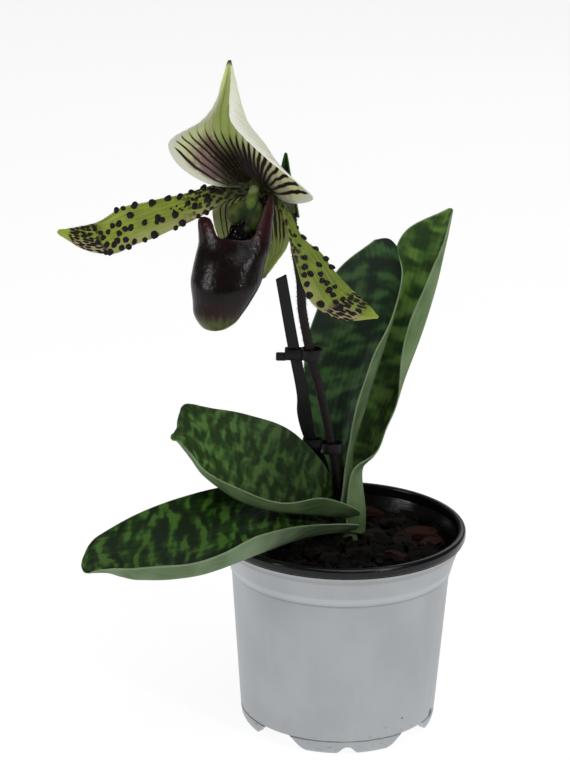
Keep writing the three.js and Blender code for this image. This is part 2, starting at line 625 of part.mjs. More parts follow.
const leafLowerLeft = (grow = 0) => blade(LEAF_LOWER_LEFT, 15, 8, LEAF_THICKNESS, grow);
const leafUpperLeft = (grow = 0) => blade(LEAF_UPPER_LEFT, 15, 8, LEAF_THICKNESS, grow);
const leafFrontRight = (grow = 0) => blade(LEAF_FRONT_RIGHT, 15, 8, LEAF_THICKNESS, grow);
const leafBackRight = (grow = 0) => blade(LEAF_BACK_RIGHT, 17, 8, LEAF_THICKNESS, grow);

// ---------------------------------------------------------------- flower

/** A tube that swells and narrows along its path. */
function swelling(path, radii, sides, steps, grow = 0) {
  const curve = new THREE.CatmullRomCurve3(path.map((p) => new THREE.Vector3(...p)));
  const widths = new THREE.CatmullRomCurve3(radii.map((r, i) => new THREE.Vector3(r, i, 0)));
  const positions = [];
  const index = [];
  const frames = curve.computeFrenetFrames(steps, false);
  for (let i = 0; i <= steps; i += 1) {
    const centre = curve.getPointAt(i / steps);
    const radius = widths.getPoint(i / steps).x + grow;
    for (let j = 0; j < sides; j += 1) {
      const angle = (2 * Math.PI * j) / sides;
      const p = centre.clone()
        .addScaledVector(frames.normals[i], radius * Math.cos(angle))
        .addScaledVector(frames.binormals[i], radius * Math.sin(angle));
      positions.push(p.x, p.y, p.z);
    }
  }
  const first = positions.length / 3;
  const start = curve.getPointAt(0);
  const end = curve.getPointAt(1);
  positions.push(start.x, start.y, start.z, end.x, end.y, end.z);
  for (let j = 0; j < sides; j += 1) {
    const next = (j + 1) % sides;
    for (let i = 0; i < steps; i += 1) {
      const a = i * sides + j;
      const b = i * sides + next;
      index.push(a, b, b + sides, a, b + sides, a + sides);
    }
    index.push(first, next, j, first + 1, steps * sides + j, steps * sides + next);
  }
  const geometry = new THREE.BufferGeometry();
  geometry.setAttribute('position', new THREE.Float32BufferAttribute(positions, 3));
  geometry.setIndex(index);
  return solidOf(geometry);
}

function ovary(grow = 0) {
  const receptacle = ball(OVARY_PATH.at(-1), RECEPTACLE_RADIUS + grow);
  return fuse(swelling(OVARY_PATH, OVARY_RADII, 8, 7, grow), receptacle);
}

function staminode(grow = 0) {
  const shield = blade(STAMINODE, 8, 10, STAMINODE_THICKNESS, grow);
  return fuse(shield, swelling(COLUMN_PATH, COLUMN_RADII, 8, 6, grow));
}

const dorsalSepal = (grow = 0) => blade(DORSAL_SEPAL, 16, 11, SEPAL_THICKNESS, grow);
const ventralSepal = (grow = 0) => blade(VENTRAL_SEPAL, 10, 7, SEPAL_THICKNESS, grow);

/** A petal blade with its warts. face is the side of the net's normals that looks forward. */
function petal(net, face, grow = 0) {
  const body = blade(net, 16, 4, PETAL_THICKNESS, grow);
  if (grow > 0) return body;
  const warts = [];
  const place = (count, v, offset) => {
    for (let i = 0; i < count; i += 1) {
      const u = WARTS.from + ((WARTS.to - WARTS.from) * (i + offset)) / count;
      const at = netPoint(net, u, v);
      if (v > 0.1 && v < 0.9) at.addScaledVector(netNormal(net, u, v), face * WARTS.rise);
      warts.push(wart(at, WARTS.radius * (1 + 0.12 * Math.sin(5 * i + 9 * v))));
    }
  };
  place(WARTS.marginCount, 0, 0.2);
  place(WARTS.marginCount, 1, 0.65);
  place(WARTS.innerCount, 0.36, 0.5);
  place(WARTS.innerCount, 0.66, 0.1);
  return fuse(body, ...warts);
}

/** The rim height of the pouch at an angle in degrees from the front. */
function rimHeight(degrees) {
  const points = [...POUCH_RIM, [360, POUCH_RIM[0][1]]];
  const after = points.findIndex(([angle]) => angle > degrees);
  const k = after < 0 ? points.length - 1 : after;
  const [a0, z0] = points[k - 1];
  const [a1, z1] = points[k];
  const t = (degrees - a0) / (a1 - a0);
  return z0 + (z1 - z0) * t * t * (3 - 2 * t);
}

/** Middle, half width and half depth of the pouch at a height. */
function pouchSection(z) {
  const below = POUCH_SECTIONS.findIndex((section) => section.at[2] <= z);
  const k = below < 0 ? POUCH_SECTIONS.length - 1 : Math.max(below, 1);
  const upper = POUCH_SECTIONS[k - 1];
  const lower = POUCH_SECTIONS[k];
  const t = (upper.at[2] - z) / (upper.at[2] - lower.at[2]);
  return {
    middle: new THREE.Vector3(...upper.at).lerp(new THREE.Vector3(...lower.at), t),
    width: upper.width + (lower.width - upper.width) * t,
    depth: upper.depth + (lower.depth - upper.depth) * t,
  };
}

/** How far the lobes of the rim lean outward at an angle and a height. */
function earLean(degrees, z) {
  const leans = POUCH_EARS.map(({ middle, reach, from, top, lean }) => {
    const near = Math.max(0, 1 - Math.abs(degrees - middle) / reach);
    const rise = THREE.MathUtils.clamp((z - from) / (top - from), 0, 1);
    return lean * THREE.MathUtils.smoothstep(near, 0, 1) * rise ** 1.5;
  });
  return Math.max(...leans);
}

/** A point of the pouch's wall, inset from its outside. */
function pouchPoint(degrees, z, inset) {
  const { middle, width, depth } = pouchSection(z);
  const angle = THREE.MathUtils.degToRad(degrees);
  const out = earLean(degrees, z) - inset;
  return middle
    .addScaledVector(FLOWER_RIGHT, (width + out) * Math.sin(angle))
    .addScaledVector(FLOWER_FORWARD, (depth + out) * Math.cos(angle));
}

function pouch() {
  const sides = 30;
  const levels = POUCH_SECTIONS.slice(4).map((section) => section.at[2]);
  const rimRows = 3;
  const ringHeights = (degrees) => {
    const top = rimHeight(degrees);
    const rows = Array.from({ length: rimRows }, (_, i) => top + ((levels[0] - top) * i) / rimRows);
    return [...rows, ...levels];
  };
  const count = rimRows + levels.length;
  const positions = [];
  const addWall = (inset, lift) => {
    for (let i = 0; i < count; i += 1) {
      for (let j = 0; j < sides; j += 1) {
        const degrees = (360 * j) / sides;
        const z = ringHeights(degrees)[i];
        const p = pouchPoint(degrees, z, i < count - 1 ? inset : inset * 0.45);
        positions.push(p.x, p.y, p.z + lift * (i / (count - 1)) ** 3);
      }
    }
    positions.push(POUCH_TOE[0], POUCH_TOE[1], POUCH_TOE[2] + lift);
  };
  addWall(0, 0);
  addWall(POUCH_WALL, POUCH_WALL);
  const innerStart = count * sides + 1;
  const index = [];
  for (let j = 0; j < sides; j += 1) {
    const next = (j + 1) % sides;
    for (let i = 0; i < count - 1; i += 1) {
      const a = i * sides + j;
      const b = i * sides + next;
      index.push(a, a + sides, b + sides, a, b + sides, b);
      const c = innerStart + a;
      const d = innerStart + b;
      index.push(c, d + sides, c + sides, c, d, d + sides);
    }
    const lastRow = (count - 1) * sides;
    index.push(lastRow + j, count * sides, lastRow + next);
    index.push(innerStart + lastRow + j, innerStart + lastRow + next, innerStart + count * sides);
    index.push(j, next, innerStart + next, j, innerStart + next, innerStart + j);
  }
  const geometry = new THREE.BufferGeometry();
  geometry.setAttribute('position', new THREE.Float32BufferAttribute(positions, 3));
  geometry.setIndex(index);
  const solid = solidOf(geometry);
  if (solid.volume() > 0) return solid;
  geometry.setIndex(index.reverse());
  return solidOf(geometry);
}

const bract = () => blade(BRACT, 8, 8, BRACT_THICKNESS);

// ---------------------------------------------------------------- assembly

const plant = new THREE.Group();

function add(name, finish, solid) {
  const mesh = new THREE.Mesh(geometryOf(solid), new THREE.MeshStandardMaterial(finish));
  mesh.name = name;
  plant.add(mesh);
}

add('pot', FINISH.pot, makePot());
add('bark_mix', FINISH.bark, makeBark(
  crownAndRoots(GAP), stakeSolid(GAP), leafBackRight(GAP), leafLowerLeft(GAP), leafUpperLeft(GAP),
));
add('crown_and_roots', FINISH.root, cut(crownAndRoots(), stem(GAP)));
add('flower_stem', FINISH.stem, stem());
add('leaf_front_right', FINISH.leaf, cut(leafFrontRight(), crownAndRoots(GAP), stem(GAP), stakeSolid(GAP)));
add('leaf_back_right', FINISH.leaf, cut(
  leafBackRight(), crownAndRoots(GAP), stem(GAP), leafFrontRight(GAP),
));
add('leaf_upper_left', FINISH.leaf, cut(
  leafUpperLeft(), crownAndRoots(GAP), stem(GAP), stakeSolid(GAP), leafFrontRight(GAP), leafBackRight(GAP),
));
add('leaf_lower_left', FINISH.leaf, cut(
  leafLowerLeft(), crownAndRoots(GAP), stem(GAP), stakeSolid(GAP), leafFrontRight(GAP), leafBackRight(GAP),
  leafUpperLeft(GAP),
));

add('ovary', FINISH.ovary, cut(ovary(), stem(GAP)));
add('staminode', FINISH.staminode, cut(staminode(), ovary(GAP)));
add('petal_left', FINISH.petal, cut(petal(PETAL_LEFT, -1), ovary(GAP), staminode(GAP)));
add('petal_right', FINISH.petal, cut(petal(PETAL_RIGHT, 1), ovary(GAP), staminode(GAP)));
add('pouch', FINISH.pouch, cut(
  pouch(), ovary(GAP), staminode(GAP), petal(PETAL_LEFT, -1, GAP), petal(PETAL_RIGHT, 1, GAP),
));
add('dorsal_sepal', FINISH.sepal, cut(
  dorsalSepal(), ovary(GAP), staminode(GAP), petal(PETAL_LEFT, -1, GAP), petal(PETAL_RIGHT, 1, GAP),
));
add('ventral_sepal', FINISH.sepal, cut(
  ventralSepal(), ovary(GAP), staminode(GAP), petal(PETAL_LEFT, -1, GAP), petal(PETAL_RIGHT, 1, GAP),
));
add('bract', FINISH.bract, cut(bract(), ovary(GAP), stem(GAP), dorsalSepal(GAP)));

add('stake', FINISH.plastic, stakeSolid());
add('clip_upper', FINISH.plastic, clip(CLIP_UPPER));
add('clip_lower', FINISH.plastic, clip(CLIP_LOWER));

export default plant;
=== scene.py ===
"""The looks of a slipper orchid in its pot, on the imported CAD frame. Shapes are written in millimetres."""
import math

import bmesh
import bpy
import numpy as np
from mathutils import Euler, Matrix


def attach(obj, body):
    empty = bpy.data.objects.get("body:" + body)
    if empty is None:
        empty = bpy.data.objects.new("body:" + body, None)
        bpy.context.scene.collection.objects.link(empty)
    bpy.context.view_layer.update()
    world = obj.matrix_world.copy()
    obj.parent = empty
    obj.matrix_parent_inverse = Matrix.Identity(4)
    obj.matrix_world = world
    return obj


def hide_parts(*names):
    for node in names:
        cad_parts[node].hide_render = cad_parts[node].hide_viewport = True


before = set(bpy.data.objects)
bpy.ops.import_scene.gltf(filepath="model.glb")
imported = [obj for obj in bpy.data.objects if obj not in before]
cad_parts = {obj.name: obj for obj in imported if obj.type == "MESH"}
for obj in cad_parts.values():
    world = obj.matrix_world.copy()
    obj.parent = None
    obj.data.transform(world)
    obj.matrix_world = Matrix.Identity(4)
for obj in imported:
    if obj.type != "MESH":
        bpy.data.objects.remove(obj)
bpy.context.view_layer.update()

MM = 0.001
FULL_TURN = 2 * math.pi


def link(thing):
    bpy.context.scene.collection.objects.link(thing)
    return thing


def axes_matrix(x, y, z):
    """The turn that takes the world's axes to these."""
    return Matrix((x, y, z)).transposed().to_4x4()


# ---------------------------------------------------------------- camera, light and floor

IMAGE = (570, 760)
CAMERA_AT = (-28.1, -1080.46, 517.79)
CAMERA_PITCH = math.radians(17.725)
CAMERA_ROLL = math.radians(0.828)
CAMERA_LENS = 113.68
SENSOR = 36
FOCAL = CAMERA_LENS / SENSOR * IMAGE[1]
CLIP_END = 100


def camera_axes():
    """The camera's right, up and forward directions."""
    cos_p, sin_p = math.cos(CAMERA_PITCH), math.sin(CAMERA_PITCH)
    cos_r, sin_r = math.cos(CAMERA_ROLL), math.sin(CAMERA_ROLL)
    level_right, level_up = np.array([1.0, 0, 0]), np.array([0, sin_p, cos_p])
    right = cos_r * level_right + sin_r * level_up
    up = cos_r * level_up - sin_r * level_right
    return right, up, np.array([0, cos_p, -sin_p])


def pixels(points):
    """Where points land in the picture."""
    right, up, forward = camera_axes()
    away = np.asarray(points, float) - CAMERA_AT
    depth = away @ forward
    return np.stack([IMAGE[0] / 2 + FOCAL * (away @ right) / depth,
                     IMAGE[1] / 2 - FOCAL * (away @ up) / depth], -1)


def nearest_pixel(shown, u, v, handicap=0):
    """The row and column whose place in the picture is nearest to a pixel."""
    gap = np.hypot(shown[..., 0] - u, shown[..., 1] - v) + handicap
    return np.unravel_index(np.argmin(gap), gap.shape)


def on_level(u, v, z):
    """The point at height z that lands on a pixel."""
    right, up, forward = camera_axes()
    ray = forward + right * (u - IMAGE[0] / 2) / FOCAL - up * (v - IMAGE[1] / 2) / FOCAL
    return np.array(CAMERA_AT) + ray * (z - CAMERA_AT[2]) / ray[2]


def add_camera():
    data = bpy.data.cameras.new("camera")
    data.lens, data.sensor_width, data.clip_end = CAMERA_LENS, SENSOR, CLIP_END
    camera = link(bpy.data.objects.new("camera", data))
    right, up, forward = camera_axes()
    camera.matrix_world = Matrix.Translation([c * MM for c in CAMERA_AT]) @ axes_matrix(right, up, -forward)
    bpy.context.scene.camera = camera


LIGHTS = {
    # name: (place in metres, aimed at, size, watts)
    "left": ((-1.225, -0.504, 0.66), (-0.05, 0, 0.24), 0.3, 4.6),
    "right": ((0.9, -1.0, 0.92), (-0.05, 0, 0.25), 0.15, 4.4),
    "top": ((0.35, -0.5, 1.8), (0, 0, 0.12), 1.5, 16),
    "back": ((0.5, 1.6, 1.1), (0, 0, 0.15), 1.0, 3),
}
WORLD_COLOR, WORLD_STRENGTH = (0.96, 0.98, 1, 1), 0.1


def add_lights():
    for name, (place, aim, size, watts) in LIGHTS.items():
        data = bpy.data.lights.new(name, "AREA")
        data.energy, data.size = watts, size
        z = unit(np.subtract(place, aim))
        x = unit(np.cross([0, 0, 1], z))
        lamp = link(bpy.data.objects.new(name, data))
        lamp.matrix_world = Matrix.Translation(place) @ axes_matrix(x, np.cross(z, x), z)
    world = bpy.data.worlds.new("studio")
    world.use_nodes = True
    background = world.node_tree.nodes["Background"]
    background.inputs["Color"].default_value = WORLD_COLOR
    background.inputs["Strength"].default_value = WORLD_STRENGTH
    bpy.context.scene.world = world
    bpy.context.scene.view_settings.view_transform = "Standard"


# The floor fills the whole background, and its glow makes that white and lights the pot and leaves from below
FLOOR_REACH, FLOOR_GLOW = 60, 0.89


def add_floor():
    mesh = bpy.data.meshes.new("floor")
    corners = [(x * FLOOR_REACH, y * FLOOR_REACH, 0) for x, y in ((-1, -1), (1, -1), (1, 1), (-1, 1))]
    mesh.from_pydata(corners, [], [(0, 1, 2, 3)])
    m = Shader("floor", Specular_IOR_Level=0.1, Emission_Color=(1, 1, 1, 1), Emission_Strength=FLOOR_GLOW)
    cloud = m.noise(m.place(), 0.004, 2)
    m.ground(cloud, "7f7f7f", "797979")
    mesh.materials.append(m.finish(0.75 + cloud * 0.1))
    floor = link(bpy.data.objects.new("floor", mesh))


# ---------------------------------------------------------------- materials

BASIC_GLOSS = 0.22


def rgb(code):
    """A colour written as in a picture, as Blender's linear colour."""
    parts = [int(code[i:i + 2], 16) / 255 for i in (0, 2, 4)]
    return (*[c / 12.92 if c <= 0.04045 else ((c + 0.055) / 1.055) ** 2.4 for c in parts], 1)


class Value:
    """What a node puts out. It adds, subtracts and multiplies as a number does, by further nodes."""

    def __init__(self, shader, socket):
        self.shader, self.socket = shader, socket

    def __add__(self, other):
        return self.shader.math("ADD", self, other)

    def __sub__(self, other):
        return self.shader.math("SUBTRACT", self, other)

    def __rsub__(self, other):
        return self.shader.math("SUBTRACT", other, self)

    def __mul__(self, other):
        return self.shader.math("MULTIPLY", self, other)

    def __abs__(self):
        return self.shader.math("ABSOLUTE", self)

    __radd__, __rmul__ = __add__, __mul__


class Shader:
    """A node material under construction. Anything that takes a number also takes a Value."""

    def __init__(self, name, **sockets):
        self.material = bpy.data.materials.new(name)
        self.material.use_nodes = True
        self.tree = self.material.node_tree
        self.bsdf = self.tree.nodes["Principled BSDF"]
        self.tone = None
        for key, value in {"Specular_IOR_Level": BASIC_GLOSS, **sockets}.items():
            self.bsdf.inputs[key.replace("_", " ")].default_value = value

    def put(self, socket, value):
        if isinstance(value, Value):
            self.tree.links.new(value.socket, socket)
        else:
            socket.default_value = value

    def node(self, kind, inputs, output=0, **settings):
        node = self.tree.nodes.new("ShaderNode" + kind)
        for key, value in settings.items():
            setattr(node, key, value)
        for key, value in inputs.items():
            self.put(node.inputs[key], value)
        return Value(self, node.outputs[output])

    def math(self, operation, *values):
        return self.node("Math", dict(enumerate(values)), operation=operation)

    def vector(self, operation, *values, output="Vector"):
        return self.node("VectorMath", dict(enumerate(values)), output, operation=operation)

    def scaled(self, vector, factors):
        return self.vector("MULTIPLY", vector, factors)

    def split(self, vector):
        node = self.node("SeparateXYZ", {0: vector}).socket.node
        return [Value(self, socket) for socket in node.outputs]

    def step(self, value, low, high):
        """0 below low and 1 above high, smooth between."""
        return self.node("MapRange", {0: value, 1: low, 2: high}, interpolation_type="SMOOTHSTEP")

    def less(self, value, low, high):
        """1 below low and 0 above high, smooth between."""
        return 1.0 - self.step(value, low, high)

    def wave(self, value, length):
        return self.math("SINE", value * (FULL_TURN / length))

    def uv(self, name):
        return self.node("UVMap", {}, uv_map=name)

    def place(self):
        """The point of the object, in millimetres."""
        return self.scaled(self.node("TexCoord", {}, "Object"), (1 / MM, 1 / MM, 1 / MM))

    def noise(self, vector, scale, detail=2, roughness=0.5):
        """Noise with that many lumps a millimetre, or with a scale for each direction."""
        if isinstance(scale, tuple):
            vector, scale = self.scaled(vector, scale), 1
        inputs = {"Vector": vector, "Scale": scale, "Detail": detail, "Roughness": roughness}
        return self.node("TexNoise", inputs, "Fac")

    def warp(self, vector, scale, amount):
        """The vector pushed about by a soft noise."""
        cloud = self.node("TexNoise", {"Vector": vector, "Scale": scale, "Detail": 1}, "Color")
        push = self.scaled(self.vector("SUBTRACT", cloud, (0.5, 0.5, 0.5)), (amount, amount, amount))
        return self.vector("ADD", vector, push)

    def spots(self, vector, gap, randomness, inner, outer):
        """1 on spots that are scattered over a surface this far apart across and along it, and 0 between."""
        grid = self.scaled(vector, (1 / gap[0], 1 / gap[1], 0))
        distance = self.node("TexVoronoi", {"Vector": grid, "Scale": 1, "Randomness": randomness}, "Distance",
                             feature="F1", voronoi_dimensions="2D")
        return self.less(distance, inner, outer)

    def mix(self, share, first, second):
        return self.node("Mix", {0: share, 6: first, 7: second}, 2, data_type="RGBA")

    def ground(self, share, first, second):
        """Starts the tone, from one colour where share is 0 to the other where it is 1."""
        self.tone = self.mix(share, rgb(first), rgb(second))

    def coat(self, share, code):
        """Lays a colour over the tone, as thickly as share says."""
        self.tone = self.mix(share, self.tone, rgb(code))

    def bump(self, height, distance):
        """Relief of that many millimetres for a height from 0 to 1."""
        self.put(self.bsdf.inputs["Normal"],
                 self.node("Bump", {"Height": height, "Distance": distance * MM, "Strength": 1}))

    def finish(self, roughness):
        self.put(self.bsdf.inputs["Base Color"], self.tone)
        self.put(self.bsdf.inputs["Roughness"], roughness)
        return self.material


# A leaf's blotches: their size across and along it, and the gap between their rows
BLOTCH, ROW_GAP = (9.2, 5.0), 3.1
# How much noise turns the dark ground to the half tone, and that to the light one
HALF_TONE_AT, LIGHT_AT = 0.465, 0.575
LEAF_VEIN_GAP = 1.9


def leaf_upper(name, dark, half_tone, light, size, contrast, soft, shade, seed):
    """Dark green with soft paler blotches in bars across the leaf, between fine lengthwise veins.

    size is the blotches' size and soft how much their edges are blurred. shade gives the brightness painted
    near the base and near the tip, as painted shade below 1 and painted light above 1, and the distances from
    the base it turns between."""
    m = Shader(name, Specular_IOR_Level=0.13)
    across, along = m.split(m.uv("flat"))[:2]
    rim, to_tip = m.split(m.uv("rim"))[:2]
    flat = m.vector("ADD", m.uv("flat"), (seed, seed * 1.7, 0))
    warped = m.warp(m.warp(flat, 0.06, 7), 0.3, 1.5)
    patch = m.noise(warped, (1 / BLOTCH[0] / size, 1 / BLOTCH[1] / size, 0), 1)
    cloud = m.noise(flat, 0.045, 1)
    row = m.wave(m.split(m.warp(flat, 0.1, 1.2))[0], ROW_GAP)
    streak = m.noise(flat, (0.55, 0.06, 0), 2)
    streaked = 0.08 + m.less(to_tip, 6, 26) * 0.3
    chance = patch + row * 0.014 + (cloud - 0.5) * 0.22 + (streak - 0.5) * streaked
    m.ground(m.step(chance, HALF_TONE_AT - soft, HALF_TONE_AT + soft), dark, half_tone)
    m.coat(m.step(chance, LIGHT_AT - soft, LIGHT_AT + soft) * contrast, light)
    fine = m.noise(flat, (1.1, 0.16, 0), 3)
    m.coat(m.step(fine, 0.5, 0.75) * 0.2, dark)
    m.coat(m.less(abs(across), 0.2, 0.9) * 0.08, light)
    m.coat(m.less(rim, 0.1, 0.6) * 0.5, "74906a")
    m.bump(m.wave(across, LEAF_VEIN_GAP) * 0.06 + fine * 0.45 + patch * 0.3, 0.14)
    # Painted shade and light: a brightness factor that turns from the base to the tip, below 1 as painted
    # shade and above 1 as painted light
    at_base, at_tip, start, end = shade
    painted_light_factor = at_base + m.step(along, start, end) * (at_tip - at_base)
    m.tone = m.node("VectorMath", {0: m.tone, "Scale": painted_light_factor}, operation="SCALE")
    return m.finish(0.36 + fine * 0.16)


def leaf_under(name, pale, deep):
    """The smooth pale underside, with faint lengthwise streaks."""
    m = Shader(name, Specular_IOR_Level=0.15)
    flat = m.uv("flat")
    rim = m.split(m.uv("rim"))[0]
    streak = m.noise(flat, (0.9, 0.05, 0), 3)
    m.ground(m.step(m.noise(flat, 0.06, 1), 0.3, 0.75), deep, pale)
    m.coat(m.step(streak, 0.35, 0.7) * 0.3, "76906a")
    m.coat(m.less(rim, 0.2, 0.9) * 0.45, "93a583")
    m.bump(streak, 0.05)
    return m.finish(0.48 + streak * 0.12)


def striped(name, strength, stripe, stripe_green, green_from, run_out, margin, ground, throat, throat_reach,
            band, band_strength, tip, point, blush, widest, share, bare, reach):
    """Dark stripes that fan out from the base and run to a point before the pale margin.

    The fan map holds the number of stripes from the middle, and the gap between them. A stripe's width is a
    share of the gap, or widest. It tapers from reach to bare in from the margin, and turns green and runs out
    past green_from. A band lies down the middle, the dark throat at the base, partly its own colour and
    partly painted shade, and a blush on the flanks."""
    m = Shader(name)
    flat = m.uv("flat")
    fan_count, gap = m.split(m.uv("fan"))[:2]
    across, along = m.split(flat)[:2]
    rim, to_tip = m.split(m.uv("rim"))[:2]
    away = m.vector("LENGTH", flat, output="Value")

    count = fan_count + (m.noise(flat, 0.12, 1) - 0.5) * 0.45
    chance = m.node("TexWhiteNoise", {"W": m.math("FLOOR", count)}, "Value", noise_dimensions="1D")
    distance = abs(m.math("FRACT", count) - 0.5) * gap
    thin = m.step(fan_count * -1, 1.5, 6) * 0.85 + m.step(fan_count, 5, 9) * 0.6
    width = m.math("MINIMUM", widest, gap * share * (1.4 - thin))
    faded = m.step(along + chance * 4, green_from - 8, green_from + 4) * run_out
    taper = m.step(rim, bare + chance * 1.8, reach) * (1.0 - faded)
    width = width * taper * (0.7 + chance * 0.55)
    line = m.less(distance - width, -0.22, 0.22) * m.step(width, 0.02, 0.22)
    green_end = m.step(along + chance * 3, green_from, green_from + 5)

    m.ground(m.step(rim, 0.6, reach + 3), margin, ground)
    middle = m.less(abs(across), 2.2, 6.5 + m.noise(flat, 0.2, 1) * 3)
    m.coat(middle * m.step(away, 8, 20) * band_strength, band)
    # A tone over the tip: inside the hood a paler one, partly the tip's own colour and partly painted light
    # where the hood's top lies in shade; on the ventral sepal its own green
    m.coat(m.less(to_tip, 8, 30) * 0.75, tip)
    flank = m.less(across, -9, -4) + m.step(across, 10, 17) * 0.5
    flush = flank * m.less(away, 25, 34) * m.step(away, 11, 18)
    flush = flush * m.step(m.noise(flat, 0.16, 2), 0.3, 0.5) * m.step(rim, 2.5, 6)
    m.coat(flush * blush, "6a2f50")
    tissue = m.noise(flat, (0.7, 0.12, 0), 3)
    m.coat(m.step(tissue, 0.4, 0.75) * 0.12, margin)
    # The dark throat at the base: partly the base's own dark colour and partly painted shade where the base
    # lies in shadow; it reaches further along the middle
    nearer = m.vector("LENGTH", m.scaled(flat, (1, 0.72, 0)), output="Value")
    speck = m.step(m.noise(flat, 1.3, 3), 0.35, 0.6)
    m.coat(m.less(nearer, *throat_reach) * (0.9 + speck * 0.1), throat)

    keel = m.less(abs(across), 0.15, 0.6) * m.less(away, 12, 40) * (0.3 * strength)
    mark = m.math("MAXIMUM", line * (1.0 - green_end * 0.6) * strength, keel)
    m.tone = m.mix(mark, m.tone, m.mix(green_end, rgb(stripe), rgb(stripe_green)))
    m.coat(m.less(to_tip, 0.5, 3), point)
    m.bump(line * 0.5 + tissue * 0.5, 0.12)
    return m.finish(0.45 + tissue * 0.16)


def petal_skin(name, dash, zone, dark, light, pale, throat, flecks, edged, lower):
    """Lime green with lengthwise veins, and rows of near-black dashes before a plain tip.

    dash is the gap between dashes across and along the petal, and zone holds their distances from the tip.
    throat, flecks and edged say how far from the base the dark throat, the small flecks and those on the
    lower edge reach, and beyond lower the lower half is buff."""
    m = Shader(name)
    flat = m.uv("flat")
    along, to_tip, v = [m.split(m.uv(layer))[1] for layer in ("flat", "rim", "blade")]
    tissue = m.noise(flat, (1.1, 0.06, 0), 3)
    m.ground(m.step(m.noise(flat, 0.1, 2), 0.3, 0.7), dark, light)
    m.coat(m.step(tissue, 0.45, 0.7) * 0.5, pale)
    m.coat(m.less(abs(m.math("FRACT", v * 8) - 0.5), 0.03, 0.16) * 0.45, "55691a")
    m.coat(m.step(v, 0.55, 0.95) * m.step(along, lower, lower + 12) * 0.6, "a3a06a")
    cloud = m.step(m.noise(flat, 0.15, 1), 0.4, 0.6)
    m.coat(m.step(v, 0.5, 0.95) * m.less(along, 30, 52) * cloud * 0.45, "8f6c60")
    m.coat(m.less(to_tip, 2, 8) * 0.6, "97a83e")
    m.coat(m.less(along, *throat) * 0.88, "1f270e")
    dashed = m.step(to_tip, zone[0], zone[0] + 1.5) * m.less(to_tip, zone[1] - 4, zone[1] + 1)
    m.coat(dashed * m.step(v, 0.25, 0.8) * 0.6, "a08c74")
    dashes = m.spots(m.warp(flat, 0.3, 0.9), dash, 0.6, 0.4, 0.52) * dashed
    m.coat(dashes, "17080c")
    on_edge = m.step(v, 0.5, 0.8) * m.less(along, edged - 8, edged + 4)
    crowded = m.math("MAXIMUM", m.less(along, flecks - 8, flecks + 4), on_edge)
    m.coat(m.spots(m.warp(flat, 0.5, 0.9), (2.1, 2.8), 0.9, 0.34, 0.46) * crowded * 0.95, "120806")
    m.bump(tissue * 0.5 + dashes, 0.22)
    return m.finish(0.45 + tissue * 0.15)


def mottled(name, dark, light, scale, relief, roughness, gloss=BASIC_GLOSS):
    """A plain two-toned surface with fine relief."""
    m = Shader(name, Specular_IOR_Level=gloss)
    place = m.place()
    cloud = m.noise(place, scale, 3)
    m.ground(m.step(cloud, 0.32, 0.68), dark, light)
    m.bump(m.noise(place, scale * 3, 3), relief)
    return m.finish(roughness[0] + cloud * (roughness[1] - roughness[0]))


def pouch_skin():
    """Near-black burgundy that turns to green at the toe and reddish brown at the ears."""
    m = Shader("pouch_skin", Specular_IOR_Level=0.2)
    place = m.place()
    z = m.split(place)[2]
    streak = m.noise(m.warp(place, 0.15, 2), (0.5, 0.5, 0.06), 3)
    wavy = z + (streak - 0.5) * 9
    m.ground(m.step(m.noise(place, 0.12, 3), 0.3, 0.7), "0b0505", "13090a")
    m.coat(m.less(wavy, 219, 231) * 0.65, "2a1010")
    m.coat(m.less(wavy, 214.5, 221.5), "4a5226")
    m.coat(m.step(z, 249, 257) * 0.75, "330f16")
    m.coat(m.step(streak, 0.5, 0.8) * 0.25, "220e10")
    crinkle = m.noise(m.warp(place, 0.4, 1.5), (0.45, 0.45, 0.3), 2)
    m.bump(crinkle + streak * 0.4, 0.24)
    return m.finish(0.22 + crinkle * 0.14)


def column_skin():
    """Light green with a pale top as a painted highlight, painted shade round to the right, and darker
    towards the shield.
    """
    m = Shader("staminode_column", Specular_IOR_Level=0.12)
    place = m.place()
    x, _, z = m.split(place)
    cloud = m.noise(place, 0.5, 3)
    m.ground(m.step(cloud, 0.3, 0.7), "475722", "5c6e2d")
    # Painted shade down the column's right side
    m.coat(m.step(x + cloud * 1.5, -42.4, -40) * 0.8, "2a2a12")
    # Painted highlight: the pale top stands in for a glint
    m.coat(m.step(z, 269.2, 270.8) * 0.6, "9aa07c")
    m.coat(m.less(z, 262, 265.6) * 0.85, "28381a")
    m.bump(m.noise(place, 1.4, 3), 0.2)
    return m.finish(0.42 + cloud * 0.15)


def shield_skin():
    """Olive lobes round a dark green middle."""
    m = Shader("staminode_shield", Specular_IOR_Level=0.15)
    flat = m.uv("flat")
    across, along = m.split(flat)[:2]
    rim = m.split(m.uv("rim"))[0]
    cloud = m.noise(flat, 0.3, 3)
    m.ground(m.step(cloud, 0.3, 0.7), "333d16", "4e5b24")
    m.coat(m.less(abs(across), 2, 5.5) * m.less(along, 8, 12) * 0.9, "1a2814")
    m.coat(m.less(rim, 0.2, 1.6) * 0.55, "46371b")
    m.bump(m.noise(flat, 1.6, 3), 0.25)
    return m.finish(0.3 + cloud * 0.2)


# The larger specks of dirt on the pot: each one's place in the picture and its radius
POT_SPOTS = [(430, 712, 2.6), (402, 718, 0.9), (256, 724, 0.8), (386, 728, 0.6), (249, 713, 0.7)]


